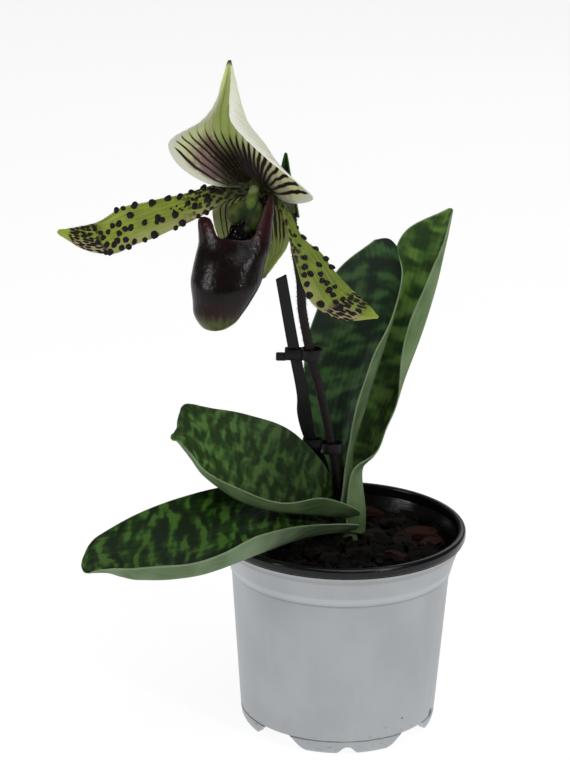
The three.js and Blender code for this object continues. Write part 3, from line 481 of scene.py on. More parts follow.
def pot_silver():
    """Satin silver film over black plastic, with the printing left off.

    It has faint rings from forming, painted shadow lines under the lip, at the shoulder and where the body
    meets the feet, a painted highlight band just above the shoulder, and a few specks of dirt."""
    m = Shader("pot_silver", Metallic=0.35, Specular_IOR_Level=0.3)
    place = m.place()
    z = m.split(place)[2]
    cloud = m.noise(place, 0.03, 3)
    m.ground(m.step(cloud, 0.3, 0.7), "a7abaf", "b1b5b8")
    m.coat(m.step(m.noise(place, (0.12, 0.12, 0.015), 2), 0.5, 0.7) * 0.14, "b9bdc1")
    broken = m.step(m.noise(place, (0.06, 0.06, 0.5), 3), 0.4, 0.6)
    # Painted shadow lines under the lip, in the shoulder step and in the crease above the feet, and a painted
    # highlight band just above the shoulder
    for height, width, code, strength in (
            (SHOULDER_HEIGHT - 0.5, 0.8, "84898d", 0.5), (SHOULDER_HEIGHT + 2.4, 2.2, "c0c3c5", 0.6),
            (LIP_BOTTOM - 2.6, 1.6, "8f8a84", 0.45), (BASE_HEIGHT - 1, 0.55, "6a645f", broken * 0.45)):
        m.coat(m.less(abs(z - height), width * 0.3, width) * strength, code)
    scuff = m.step(m.noise(place, (0.22, 0.22, 0.8), 5, 0.6), 0.6, 0.68)
    m.coat(scuff * m.less(z, 3, 22) * 0.6, "7d7266")
    dirt = m.step(m.noise(place, 0.3, 5, 0.7), 0.66, 0.7)
    m.coat(dirt * m.less(z, 2, 12) * 0.8, "4a3d34")
    for u, v, radius in POT_SPOTS:
        ragged = m.vector("DISTANCE", place, pot_point(u, v), output="Value") + m.noise(place, 1.1, 2) * 0.9
        m.coat(m.less(ragged, radius * 0.8, radius * 1.1 + 0.3) * 0.85, "24201d")
    ring = m.math("SINE", (z + m.noise(place, 0.04, 1) * 3) * 2.1)
    m.bump(ring * 0.06 + m.noise(place, 1.2, 2) * 0.25, 0.16)
    return m.finish(0.36 + cloud * 0.16)


def bark_skin():
    """Fibrous bark whose brown differs from chip to chip."""
    m = Shader("bark", Specular_IOR_Level=0.1)
    place = m.place()
    chip_tone = m.split(m.uv("flat"))[0]
    fibre = m.noise(place, (0.35, 1.1, 0.8), 4, 0.6)
    grit = m.noise(place, 0.9, 4, 0.6)
    m.ground(m.step(chip_tone, 0.15, 0.75), "0a0807", "1b120c")
    m.coat(m.step(chip_tone, 0.8, 1), "301b12")
    m.coat(m.step(fibre, 0.45, 0.7) * 0.55, "080605")
    m.coat(m.step(grit, 0.62, 0.78) * 0.3, "43301f")
    m.bump(fibre + grit, 0.5)
    return m.finish(0.62 + grit * 0.3)


# ---------------------------------------------------------------- curves and meshes


def spline(points, x):
    """Catmull-Rom values at each x from 0 to 1, run straight on past both ends."""
    p = np.asarray(points, float)
    last = len(p) - 1
    padded = np.concatenate([[2 * p[0] - p[1]], p, [2 * p[-1] - p[-2]]])
    along = np.clip(np.asarray(x, float) * last, 0, last)
    k = np.minimum(along.astype(int), last - 1)
    t = (along - k).reshape([-1] + [1] * (p.ndim - 1))
    a, b, c, d = (padded[k + i] for i in range(4))
    bend, twist = 2 * a - 5 * b + 4 * c - d, 3 * b - a - 3 * c + d
    return 0.5 * (2 * b + (c - a) * t + bend * t ** 2 + twist * t ** 3)


def unit(vectors):
    return vectors / np.maximum(np.linalg.norm(vectors, axis=-1, keepdims=True), 1e-9)


def around(count):
    """That many directions round a circle."""
    return np.linspace(0, FULL_TURN, count, endpoint=False)


def smooth(share):
    """The share, eased at both ends."""
    return share * share * (3 - 2 * share)


def net_grid(net, rows, columns):
    """Points on a net, in rows from base to tip and columns from margin to margin."""
    across = spline(np.swapaxes(np.array(net, float), 0, 1), np.linspace(0, 1, columns + 1))
    return spline(np.swapaxes(across, 0, 1), np.linspace(0, 1, rows + 1))


def grid_normals(grid):
    return unit(np.cross(np.gradient(grid, axis=1), np.gradient(grid, axis=0)))


def quads(rows, columns, start=0, wrap=False):
    """Faces of a grid of points, whose columns close into a ring if wrap is set."""
    i, j = np.indices((rows - 1, columns if wrap else columns - 1)).reshape(2, -1)
    here, beside = start + i * columns + j, start + i * columns + (j + 1) % columns
    return np.stack([here, beside, beside + columns, here + columns], 1).tolist()


def capped(rings, sides):
    """Faces of a tube of rings with a face at each end."""
    ends = [list(range(sides))[::-1], list(range((rings - 1) * sides, rings * sides))]
    return quads(rings, sides, wrap=True) + ends


def face_outward(mesh, merge=False):
    """Turns every face outward, after joining the points that coincide if merge is set."""
    tidy = bmesh.new()
    tidy.from_mesh(mesh)
    if merge:
        bmesh.ops.remove_doubles(tidy, verts=tidy.verts, dist=1e-6)
    bmesh.ops.recalc_face_normals(tidy, faces=tidy.faces)
    tidy.to_mesh(mesh)
    tidy.free()


def template(make):
    """The points and faces of a shape that a function makes in a bmesh."""
    shape = bmesh.new()
    make(shape)
    points = np.array([v.co[:] for v in shape.verts])
    faces = [[v.index for v in f.verts] for f in shape.faces]
    shape.free()
    return points, faces


class Piece:
    """Gathers vertices, faces and the maps that materials read, and makes one object of them."""

    MAPS = ("flat", "rim", "blade", "fan")

    def __init__(self, name, slot, *nodes):
        self.name, self.slot, self.nodes = name, slot, nodes
        self.points, self.faces, self.paint, self.materials = [], [], [], []
        self.maps = {name: [] for name in self.MAPS}
        self.count = 0

    def add(self, points, faces, material, maps=None):
        """material is one for all the faces, or one for each."""
        points = np.asarray(points, float).reshape(-1, 3)
        self.points.append(points)
        self.faces += [[i + self.count for i in face] for face in faces]
        for one in material if isinstance(material, list) else [material] * len(faces):
            if one not in self.materials:
                self.materials.append(one)
            self.paint.append(self.materials.index(one))
        for name in self.MAPS:
            given = (maps or {}).get(name, np.zeros((len(points), 2)))
            self.maps[name].append(np.reshape(given, (-1, 2)))
        self.count += len(points)

    def make(self, sharp=35, merge=False):
        """The object. Edges that turn by more than sharp degrees stay hard."""
        mesh = bpy.data.meshes.new(self.name)
        mesh.from_pydata((np.concatenate(self.points) * MM).tolist(), [], self.faces)
        for material in self.materials:
            mesh.materials.append(material)
        mesh.polygons.foreach_set("material_index", self.paint)
        corners = np.zeros(len(mesh.loops), np.int32)
        mesh.loops.foreach_get("vertex_index", corners)
        for name in self.MAPS:
            values = np.concatenate(self.maps[name])
            if values.any():
                mesh.uv_layers.new(name=name).data.foreach_set("uv", values[corners].ravel())
        mesh.validate()
        face_outward(mesh, merge)
        mesh.shade_smooth()
        mesh.set_sharp_from_angle(angle=math.radians(sharp))
        thing = link(bpy.data.objects.new(self.name, mesh))
        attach(thing, "root")
        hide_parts(*self.nodes)
        return thing


def run_lengths(line):
    """Distances along a line of points."""
    return np.concatenate([[0], np.cumsum(np.linalg.norm(np.diff(line, axis=0), axis=1))])


def length_map(grid, middle):
    """Distances over a surface: across from its middle line and along it, then to its margin and tip."""
    across = np.array([run_lengths(row) for row in grid])
    columns = grid.shape[1] - 1
    k = int(middle * columns)
    centre = across[:, k] + (across[:, min(k + 1, columns)] - across[:, k]) * (middle * columns - k)
    rim = np.minimum(across, across[:, -1:] - across)
    along = np.repeat(run_lengths(grid[:, k])[:, None], columns + 1, 1)
    return np.stack([across - centre[:, None], along], -1), np.stack([rim, along[-1, 0] - along], -1)


def blade(piece, net, size, thickness, front, upper, under, middle=0.5, edge=0.4, relief=None, fan=None):
    """A blade on a net, with an edge that is a share of its thickness.

    size holds its rows and columns, and front is the side of the normals that is its upper face."""
    rows, columns = size
    grid = net_grid(net, rows, columns)
    normals = grid_normals(grid) * front
    flat, rim = length_map(grid, middle)
    u, v = np.meshgrid(np.linspace(0, 1, rows + 1), np.linspace(0, 1, columns + 1), indexing="ij")
    body = (1 - np.abs(2 * v - 1) ** 7) * (1 - u ** 14)
    half = (thickness / 2 * (edge + (1 - edge) * body))[..., None]
    lift = 0 if relief is None else relief(flat[..., 0], flat[..., 1], rim[..., 0])[..., None]
    top, bottom = grid + normals * (half + lift), grid - normals * (half - lift * 0.8)
    count = (rows + 1) * (columns + 1)
    at = np.arange(count).reshape(rows + 1, columns + 1)
    first = np.concatenate([at[:-1, 0], at[1:, -1], at[0, 1:], at[-1, :-1]])
    second = np.concatenate([at[1:, 0], at[:-1, -1], at[0, :-1], at[-1, 1:]])
    faces_top = quads(rows + 1, columns + 1)
    others = [face[::-1] for face in quads(rows + 1, columns + 1, count)]
    others += np.stack([first, second, second + count, first + count], 1).tolist()
    maps = {"flat": flat, "rim": rim, "blade": np.stack([u, v], -1)}
    if fan is not None:
        maps["fan"] = fan(flat, maps["blade"])
    piece.add([top, bottom], faces_top + others, [upper] * len(faces_top) + [under] * len(others),
              {name: [values, values] for name, values in maps.items()})
    return grid, normals, half


def path_frames(points):
    """Unit directions along a path, and two across it that turn as little as they can."""
    along = unit(np.gradient(points, axis=0))
    side = np.zeros_like(points)
    start = np.cross(along[0], [0, 0, 1.0])
    side[0] = unit(start if np.linalg.norm(start) > 0.1 else np.cross(along[0], [0, 1.0, 0]))
    for i in range(1, len(points)):
        side[i] = unit(side[i - 1] - along[i] * np.dot(side[i - 1], along[i]))
    return along, side, np.cross(along, side)


def tube(piece, path, radii, sides, steps, material, ribs=0):
    """A tube with closed ends, whose six ribs stand out by that share."""
    shares = np.linspace(0, 1, steps + 1)
    centre, radius = spline(path, shares), spline(radii, shares)
    along, side, other = path_frames(centre)
    angle = around(sides)
    c, s = np.array([np.cos(angle), np.sin(angle)])[..., None] * (1 + ribs * np.cos(6 * angle))[:, None]
    ring = c * side[:, None] + s * other[:, None]
    piece.add(centre[:, None] + ring * radius[:, None, None], capped(steps + 1, sides), material)
    return centre, radius, along, side, other


def balls(piece, lumps, flatness, material, level=2, uneven=0):
    """Small rounded lumps, each with its place, its radius and the axis that it is flattened along."""
    points, faces = template(lambda shape: bmesh.ops.create_icosphere(shape, subdivisions=level, radius=1))
    for order, (at, radius, axis) in enumerate(lumps):
        squash = points - np.outer(points @ axis, axis) * (1 - flatness)
        swell = 1 + uneven * np.sin(points @ np.array([2.1, 3.3, 1.7]) + order * 2.3)[:, None]
        piece.add(at + squash * swell * radius, faces, material)


# The turns of a hair's three corners, and a direction that no hair lies in
HAIR_TURNS, HAIR_GUIDE = np.array([0, 2.094, 4.189]), [0.31, 0.53, 0.79]


def hairs(piece, roots, ways, lengths, material, thick=0.07):
    """Short stiff hairs: three-sided cones."""
    c, s = np.cos(HAIR_TURNS)[:, None], np.sin(HAIR_TURNS)[:, None]
    for root, way, length in zip(roots, ways, lengths):
        side = unit(np.cross(way, HAIR_GUIDE))
        other = np.cross(way, side)
        foot = root + thick * (c * side + s * other) - way * 0.15
        faces = [[0, 1, 3], [1, 2, 3], [2, 0, 3], [2, 1, 0]]
        piece.add(np.concatenate([foot, [root + way * length]]), faces, material)


def fur(piece, line, seed, count, rows, lean, lengths, material, thick=0.07, loose=None):
    """Hairs all round a tube, in those rows of it, that lean along it.

    loose is how far each may slide along the tube and stray from its way."""
    centre, radius, along, side, other = line
    random = np.random.default_rng(seed)
    roots, ways = [], []
    for _ in range(count):
        i = random.integers(*rows)
        turn = random.uniform(0, FULL_TURN)
        out = math.cos(turn) * side[i] + math.sin(turn) * other[i]
        root, way = centre[i] + out * radius[i], out + lean * along[i]
        if loose:
            root = root + along[i] * random.uniform(-loose[0], loose[0])
            way = way + random.normal(0, loose[1], 3)
        roots.append(root)
        ways.append(unit(way))
    hairs(piece, roots, ways, random.uniform(*lengths, count), material, thick)


def lathe(piece, profile, sides, paint, at=(0, 0, 0)):
    """A surface of revolution from radius and height pairs, with a material for each band."""
    profile, angle = np.asarray(profile, float), around(sides)
    points = np.stack([profile[:, :1] * np.cos(angle), profile[:, :1] * np.sin(angle),
                       np.repeat(profile[:, 1:], sides, 1)], -1)
    each = [material for material in paint for _ in range(sides)]
    piece.add(points + at, quads(len(profile), sides, wrap=True), each)


# ---------------------------------------------------------------- pot

POT_HEIGHT, RIM_RADIUS, POT_WALL = 100.5, 60, 1.3
LIP_HEIGHT, LIP_INNER, NECK_RADIUS = 5.3, 56.5, 58.4
LIP_BOTTOM = POT_HEIGHT - LIP_HEIGHT
SHOULDER_HEIGHT, SHOULDER_RADIUS, SHOULDER_STEP = 79.5, 52.8, 0.8
BASE_HEIGHT, BASE_RADIUS, FOOT_RADIUS = 8.5, 47.7, 43.6
FLOOR_HEIGHT, PAD_RADIUS = 8, 12
# From the floor over the feet to the wall: out from the feet's radius, and height
FOOT_CURVE = [
    (1.3, 8), (-1.7, 0.4), (-1.3, 0), (-0.3, 0), (0.9, 0.25), (2, 0.9), (2.7, 1.7), (3.2, 2.6), (3.55, 3.7),
    (3.8, 5), (3.95, 6.4), (3.95, 7.1), (3.55, 7.45), (3.9, 7.8),
]
POT_SIDES, POT_SHARP = 180, 32
# The gaps between the feet and the notch in each foot: width at the table and at the top, height and turns
GAPS = [(34, 13, 7.6, (50, 138, 231, 318.8)), (13, 1.4, 4.6, (94, 182, 275, 362.8))]
DRAIN_RADIUS, DRAIN_CIRCLE, DRAIN_COUNT, DRAIN_SIDES = 3, 28, 8, 24
CUTTER_DEPTH, CUTTER_BELOW = 16, 1


def pot_radius(z):
    """Outside radius of the wall between the base and the lip."""
    if z < SHOULDER_HEIGHT:
        share = (z - BASE_HEIGHT) / (SHOULDER_HEIGHT - BASE_HEIGHT)
        return BASE_RADIUS + (SHOULDER_RADIUS - BASE_RADIUS) * share
    start = SHOULDER_RADIUS + SHOULDER_STEP
    return start + (NECK_RADIUS - start) * ((z - SHOULDER_HEIGHT) / (LIP_BOTTOM - SHOULDER_HEIGHT)) ** 1.25


def pot_point(u, v):
    """The point of the pot's near wall that lands on a pixel."""
    z = POT_HEIGHT / 2
    for _ in range(12):
        x, y, _ = on_level(u, v, z)
        wanted = -math.sqrt(max(0, pot_radius(max(z, BASE_HEIGHT)) ** 2 - x ** 2))
        z += (wanted - y) / (on_level(u, v, z + 1)[1] - y)
    return on_level(u, v, z)


def arc(centre, radii, start, end, count):
    """Points of an ellipse's arc, in degrees."""
    turn = np.radians(np.linspace(start, end, count))
    return [[centre[0] + radii[0] * math.cos(a), centre[1] + radii[1] * math.sin(a)] for a in turn]


def prism(outline, depth, degrees, middle):
    """The points of a cutter through the foot ring: an upright outline pushed through at an angle."""
    turn = math.radians(degrees)
    out, side = np.array([math.cos(turn), math.sin(turn), 0]), np.array([-math.sin(turn), math.cos(turn), 0])
    return [out * (middle + s * depth / 2) + side * x + [0, 0, z] for s in (-1, 1) for x, z in outline]


def pot_cutters():
    """The gaps between the feet, the notches in them and the drain holes, as one object."""
    points, faces = [], []

    def put(part):
        faces.extend([[i + len(points) for i in face] for face in capped(2, len(part) // 2)])
        points.extend(part)

    shares = np.linspace(0, 1, 11)
    gaps = [(turn, wide, narrow, height) for wide, narrow, height, turns in GAPS for turn in turns]
    for turn, wide, narrow, height in sorted(gaps):
        side = [((wide + (narrow - wide) * s) / 2, height * smooth(s)) for s in shares]
        outline = [(x, -CUTTER_BELOW) for x in (-side[0][0], side[0][0])] + side
        put(prism(outline + [(-x, z) for x, z in side[::-1]], CUTTER_DEPTH, turn, FOOT_RADIUS))
    for turn in around(DRAIN_COUNT):
        middle = (DRAIN_CIRCLE * math.cos(turn), DRAIN_CIRCLE * math.sin(turn))
        put([[middle[0] + DRAIN_RADIUS * math.cos(a), middle[1] + DRAIN_RADIUS * math.sin(a), z]
             for z in (2, FLOOR_HEIGHT + 2) for a in around(DRAIN_SIDES)])
    mesh = bpy.data.meshes.new("cutters")
    mesh.from_pydata((np.array(points) * MM).tolist(), [], faces)
    face_outward(mesh)
    return link(bpy.data.objects.new("cutters", mesh))


def cut_with(thing, cutters):
    """Cuts one object by another and drops the tool."""
    boolean = thing.modifiers.new("cut", "BOOLEAN")
    boolean.operation, boolean.solver, boolean.object = "DIFFERENCE", "EXACT", cutters
    bpy.context.view_layer.update()
    done = bpy.data.meshes.new_from_object(thing.evaluated_get(bpy.context.evaluated_depsgraph_get()))
    thing.modifiers.clear()
    old, name = thing.data, thing.data.name
    thing.data = done
    bpy.data.meshes.remove(old)
    done.name = name
    bpy.data.objects.remove(cutters)


def make_pot(silver, black):
    body = [*np.linspace(BASE_HEIGHT, SHOULDER_HEIGHT - 1.2, 12),
            SHOULDER_HEIGHT - 0.7, SHOULDER_HEIGHT - 0.3]
    outside = [[pot_radius(z), z] for z in (*body, *np.linspace(SHOULDER_HEIGHT, LIP_BOTTOM, 12))]
    outside[len(body)][0] -= 0.15
    inside = [[r - POT_WALL, z] for r, z in outside][::-1]
    under = [[0, 0], [PAD_RADIUS - 0.4, 0], [PAD_RADIUS, 0.3], [PAD_RADIUS + 1.5, FLOOR_HEIGHT]]
    under += [[FOOT_RADIUS + out, z] for out, z in FOOT_CURVE]
    lip = [[NECK_RADIUS + 0.1, LIP_BOTTOM + 0.25], [RIM_RADIUS - 0.5, LIP_BOTTOM + 0.35]]
    lip += arc((RIM_RADIUS - 1.5, LIP_BOTTOM + 1.7), (1.5, 1.35), -60, 0, 5)
    lip += arc((RIM_RADIUS - 1.8, POT_HEIGHT - 1.8), (1.8, 1.8), 0, 90, 8)
    lip += arc((LIP_INNER + 1, POT_HEIGHT - 1.1), (1, 1), 90, 180, 6)
    lip += [[LIP_INNER, LIP_BOTTOM + 0.6]]
    floor = [[radius, FLOOR_HEIGHT + POT_WALL] for radius in (BASE_RADIUS - POT_WALL - 0.8, PAD_RADIUS + 2.6)]
    floor += [[PAD_RADIUS + 1, POT_WALL], [0, POT_WALL]]
    paint = [silver] * len(under + outside) + [black] * (len(lip + inside + floor) - 1)
    pot = Piece("pot_shell", "pot_plastic", "pot")
    lathe(pot, under + outside + lip + inside + floor, POT_SIDES, paint)
    thing = pot.make(sharp=POT_SHARP, merge=True)
    cut_with(thing, pot_cutters())
    thing.data.set_sharp_from_angle(angle=math.radians(POT_SHARP))


# ---------------------------------------------------------------- bark

BARK_TOP, BARK_BOTTOM, BED_RADIUS, BED_SIDES = 87, 9.8, 54, 72
CHIP_COUNT, BIG_SHARE, GOLDEN_TURN = 520, 0.3, 2.39996
# The least and most length, width and thickness of a chip
BIG_CHIP, SMALL_CHIP = ((9, 15), (5, 8.5), (2.4, 4.4)), ((3.5, 8.5), (2.5, 5), (1.6, 3))
RED_CHIP_THICKNESS = 3.2
CHIP_UNEVENNESS = [0.028, 0.045, 0.1]
RED_CHIPS = [
    # picture position, height, length, width, turn in degrees, tone
    (376, 514, 88.5, 15, 8, 25, 0.93), (392, 522, 88.5, 13, 7, -20, 0.7), (420, 533, 88.2, 16, 9, 12, 1.0),
    (432, 543, 88, 12, 7, 40, 0.95), (396, 556, 88.5, 11, 6, -30, 0.9), (402, 540, 88.3, 12, 8, 70, 0.7),
    (445, 527, 88, 12, 7, -10, 0.75), (372, 535, 88.6, 13, 7, 30, 0.6), (357, 552, 88.4, 12, 7, 5, 0.75),
    (330, 557, 88, 10, 6, 50, 0.85), (412, 517, 88, 12, 6, -40, 0.5), (315, 553, 88.2, 9, 6, 15, 0.6),
]


def fine_cube(shape):
    bmesh.ops.create_cube(shape, size=1)
    bmesh.ops.subdivide_edges(shape, edges=shape.edges[:], cuts=2, use_grid_fill=True)


def make_bark(material):
    random = np.random.default_rng(11)
    bark = Piece("bark_chips", "bark", "bark_mix")
    cube, faces = template(fine_cube)

    def chip(at, size, yaw, tilt, tone):
        """An uneven block with blunt corners. Its map holds its tone and a chance of its own."""
        blunt = 0.16 * (np.abs(cube).sum(1, keepdims=True) > 1.2) * random.uniform(0.4, 1.6, (len(cube), 1))
        points = cube * (1 - blunt) * size
        points = points + random.normal(0, 1, cube.shape) * np.array(size) * CHIP_UNEVENNESS
        points[:, 2] += 0.12 * size[2] * np.sin(points[:, 0] / size[0] * 5 + tone * 9)
        points = points @ np.array(Euler((*tilt, yaw)).to_matrix()).T + at
        reach = np.hypot(points[:, 0], points[:, 1])
        limit = np.array([pot_radius(max(z, BASE_HEIGHT)) for z in points[:, 2]]) - POT_WALL - 0.5
        points[:, :2] *= np.minimum(1, limit / np.maximum(reach, 1e-6))[:, None]
        bark.add(points, faces, material, {"flat": np.tile([tone, random.random()], (len(points), 1))})

    wall = [[pot_radius(z) - POT_WALL - 0.6, z] for z in (BASE_HEIGHT + 2, 40, 79, 80, BARK_TOP - 4)]
    bed = [[0, BARK_BOTTOM], [wall[0][0] - 2, BARK_BOTTOM]] + wall
    bed += [[44, BARK_TOP - 2.5], [20, BARK_TOP - 1.5], [0, BARK_TOP - 1.5]]
    lathe(bark, bed, BED_SIDES, [material] * (len(bed) - 1))
    for i in range(CHIP_COUNT):
        share = math.sqrt((i + 0.5) / CHIP_COUNT)
        angle = i * GOLDEN_TURN + random.normal(0, 0.3)
        big = random.random() < BIG_SHARE
        size = [random.uniform(*span) for span in (BIG_CHIP if big else SMALL_CHIP)]
        height = BARK_TOP - 2 * share ** 2 + random.uniform(-1.6, 2.2) - (1.2 if big else 0)
        tone = random.beta(1.2, 2.6) * 0.85
        at = [BED_RADIUS * share * math.cos(angle), BED_RADIUS * share * math.sin(angle), height]
        chip(at, size, random.uniform(0, 6.28), random.normal(0, 0.28, 2), tone)
    for u, v, z, length, width, turn, tone in RED_CHIPS:
        size = [length, width, RED_CHIP_THICKNESS]
        chip(on_level(u, v, z), size, math.radians(turn), random.normal(0, 0.14, 2), tone)
    bark.make(sharp=28, merge=True)


# ---------------------------------------------------------------- plant: measured shapes

CROWN_AT, CROWN_BOTTOM, CROWN_TOP = (3.5, 17.5), 66, 101
CROWN_RADII = [2, 4.5, 6.4, 6.4, 6.4, 5.6, 4.2]
ROOTS = [
    [[3.5, 17.5, 74], [-8, 8, 66], [-20, -6, 52], [-26, -14, 30]],
    [[3.5, 17.5, 73], [14, 4, 64], [24, -14, 50], [26, -22, 26]],
    [[3.5, 17.5, 72], [16, 26, 62], [28, 24, 44], [30, 16, 22]],
    [[3.5, 17.5, 71], [-6, 28, 60], [-18, 30, 42], [-22, 24, 20]],
    [[3.5, 17.5, 70], [5, 8, 56], [2, -2, 38], [4, -4, 18]],
]
ROOT_RADII = [2, 2, 1.9, 1.6]

STEM_RADIUS = 2.15
STEM_PATH = [
    [3.6, 20.4, 82], [1.7, 20, 98.6], [-1.3, 18, 113.4], [-5.4, 15, 135.4], [-10.8, 11, 161.7],
    [-14.9, 9, 176.8], [-18.2, 7, 192.7], [-20.6, 5, 206.5], [-21.5, 4, 219.9], [-24.6, 3, 238.5],
    [-26.2, 3, 253],
]

OVARY_PATH = [
    [-26.3, 3, 253.4], [-28.6, -0.5, 259.5], [-33, -7, 265.5], [-38.5, -14, 269.3], [-43, -18.5, 270],
]
OVARY_RADII = [2.3, 2.8, 3.1, 3, 3.4]
RECEPTACLE_RADIUS = 3.7

FLOWER_FORWARD = unit(np.array([-0.42, -0.907, 0]))
FLOWER_RIGHT = unit(np.array([0.907, -0.42, 0]))

# Each leaf, sepal and petal is a net of points: rows from base to tip, and each row from margin to margin
LEAF_LOWER_LEFT = [
    [[0, 22.5, 92], [-2.6, 17.5, 90.5], [0.5, 12.5, 90], [6, 12, 91.5]],
    [[-6, 23.5, 98], [-8, 15, 94.5], [-2.5, 6.5, 92.8], [7.5, 7, 97]],
    [[-19, 20, 106.5], [-20, 4, 103.5], [-19, -12, 97.5], [-15, -14, 104.5]],
    [[-40.5, 2, 119], [-42, -18, 111.5], [-39.5, -47, 103.5], [-39, -50, 113]],
    [[-66, -22, 124], [-67, -38, 113], [-66.5, -60, 98.3], [-64, -65, 106]],
    [[-91.5, -44, 122.5], [-92.5, -55, 113], [-92.5, -70, 99.6], [-91.5, -75, 106.5]],
    [[-108.8, -60.5, 118.3], [-110.4, -66.5, 112.2], [-107.6, -74, 104.4], [-105, -77, 106.3]],
    [[-115.7, -66, 114], [-116.4, -70, 109.9], [-114.2, -75.3, 104.9], [-111.6, -77, 105.6]],
    [[-118.5, -71.5, 109], [-118.9, -74, 106.9], [-117.5, -76.3, 104.7], [-115.6, -77, 104.3]],
]

LEAF_UPPER_LEFT = [
    [[1, 22.5, 98.5], [-2.4, 18, 97], [0.5, 12.5, 96], [6, 12, 97.5]],
    [[-2, 22, 106.5], [-6.5, 16, 104], [-1.5, 8, 101], [8.5, 8.5, 104]],
    [[-9.5, 13.5, 126.5], [-11.5, 8, 116.5], [-10.5, -2, 105.5], [-9.5, -9, 116.5]],
    [[-26.5, 9, 145], [-29.5, 0, 131.5], [-30, -16, 113.5], [-28.5, -22, 118.5]],
    [[-46.5, 6, 153], [-49, -8, 140], [-49.5, -26, 123], [-48.5, -32, 129]],
    [[-64.5, 0, 158], [-65.5, -14, 149.5], [-65, -30, 136], [-64.4, -33.4, 138.2]],
    [[-74.5, -9, 162.8], [-75, -18, 156.3], [-71.6, -29, 144.4], [-70.8, -30.8, 145]],
    [[-77.2, -13.5, 160], [-77.3, -19.5, 155.2], [-75.3, -28, 148.8], [-74.6, -29, 148.8]],
    [[-77.7, -18.5, 155.6], [-78.2, -22, 153.7], [-78, -26.5, 151.2], [-77.4, -28, 150.8]],
    [[-80.1, -24, 152.7], [-80.9, -25.5, 151.8], [-80.4, -26.3, 151], [-79.5, -27, 150.6]],
]

LEAF_FRONT_RIGHT = [
    [[-2.5, 20.5, 100], [5, 23, 98], [8.5, 14, 100], [-0.5, 10.5, 105]],
    [[-10.5, 26, 124.5], [2, 30, 117], [5, 23, 125.5], [1.5, 16, 121]],
    [[-16.5, 32, 146], [-1, 40, 142], [11, 35, 149], [6.5, 26, 148.5]],
    [[-19, 38, 168.5], [5, 50, 165.5], [18, 44, 170.5], [14, 36, 172]],
    [[-15, 42, 189], [12.5, 56, 190.5], [24, 54, 191], [24, 48, 190]],
    [[-4, 46, 213], [18, 60, 212], [27.5, 59, 210], [28.5, 56, 209]],
    [[14.5, 54.8, 227.3], [19.5, 59, 227.2], [23, 60, 226], [26, 60, 222.5]],
]

LEAF_BACK_RIGHT = [
    [[1, 25.5, 92], [10.5, 20, 90], [10, 13, 90.5], [3, 9, 93]],
    [[1.5, 26, 102], [10.7, 21, 100], [9.8, 13, 102], [2.6, 9.2, 105]],
    [[4.5, 32, 116], [9.6, 27, 117], [8.4, 20, 118.5], [5.2, 15, 121.5]],
    [[1, 44, 124], [11.8, 38, 124.5], [15, 28, 125.5], [16.6, 21.5, 129]],
    [[-1, 54, 133], [14.5, 46, 134], [19, 36, 134.5], [21.5, 30, 138]],
    [[2, 64, 154.5], [22.5, 58, 149], [27, 48, 149.5], [27.5, 42, 149.5]],
    [[11, 68, 179.5], [30, 68, 170.5], [37.5, 60, 174], [30, 49, 177]],
    [[22, 70, 207], [37.5, 74, 200], [46, 68, 202], [40, 58, 203]],
    [[30.5, 72, 227.5], [43.5, 77, 222], [50.5, 74, 223], [49, 69, 222]],
    [[51.5, 75.5, 238.5], [53, 77, 238], [53.5, 77.5, 238], [53.5, 77, 237]],
]

DORSAL_SEPAL = [
    [[-46, -20, 270], [-45, -19.5, 271], [-43, -19, 271.5], [-41, -20, 271], [-39.5, -21, 270]],
    [[-62.5, -24, 272], [-53, -18, 272.5], [-46, -14, 273], [-37, -19, 270.5], [-27, -28, 265]],
    [[-75.5, -26, 279.5], [-62.5, -19, 280], [-49.5, -12, 278.5], [-36, -20, 276], [-17, -36, 268.5]],
    [[-81.5, -27, 288.5], [-69, -19, 287.5], [-53, -11, 285], [-38, -19, 282], [-21, -38, 274.5]],
    [[-79.5, -26, 294], [-69, -19, 293.5], [-56, -12, 291.5], [-39, -19, 289], [-38, -36, 287.5]],
    [[-67.5, -24, 301], [-62.5, -18, 301], [-57, -14, 300], [-46.5, -20, 299.5], [-52.5, -32, 301]],
    [[-61, -23, 309.5], [-59, -20, 309], [-57, -17, 309], [-50, -21, 309.5], [-54.5, -28, 309]],
    [[-58, -24, 319.5], [-56.5, -22, 319.5], [-55.5, -20.5, 319.5], [-52.5, -22, 320], [-54, -25.5, 319.5]],
    [[-55.6, -24, 328], [-55.2, -24, 328.5], [-54.8, -24, 328.5], [-54.4, -24, 328.5], [-54, -24.5, 328]],
]

# The stripes on the hood's left and right: the degrees between them, and how far they bend towards the tip
FAN_TURNS, FAN_BENDS, FAN_START = (8.8, 5.8), (0.35, 0), 1.5
VENTRAL_STRIPES = 14

VENTRAL_SEPAL = [
    [[-45.5, -16.5, 268.5], [-44.5, -16, 268.5], [-43, -15.5, 268.5],
     [-41.5, -16, 268.5], [-39.5, -17, 268.5]],
    [[-60.5, -16, 261.5], [-53.5, -12, 261], [-44, -9, 259.5], [-35, -11, 260.5], [-28.5, -18, 260.5]],
    [[-61.5, -16, 252], [-53.5, -10, 248.5], [-43, -6, 246], [-33, -8, 248], [-27, -17, 250]],
    [[-57, -13, 239.5], [-50.5, -7, 236.5], [-41.5, -4, 235], [-33, -6, 237.5], [-28, -13, 241]],
    [[-49.5, -8, 229], [-45.5, -5, 227.5], [-40.5, -3, 227], [-36, -4, 229], [-32.5, -8, 232.5]],
    [[-42, -4, 223], [-41, -4, 222.5], [-40, -4, 222.5], [-39, -4, 223], [-38, -4, 223.5]],
]

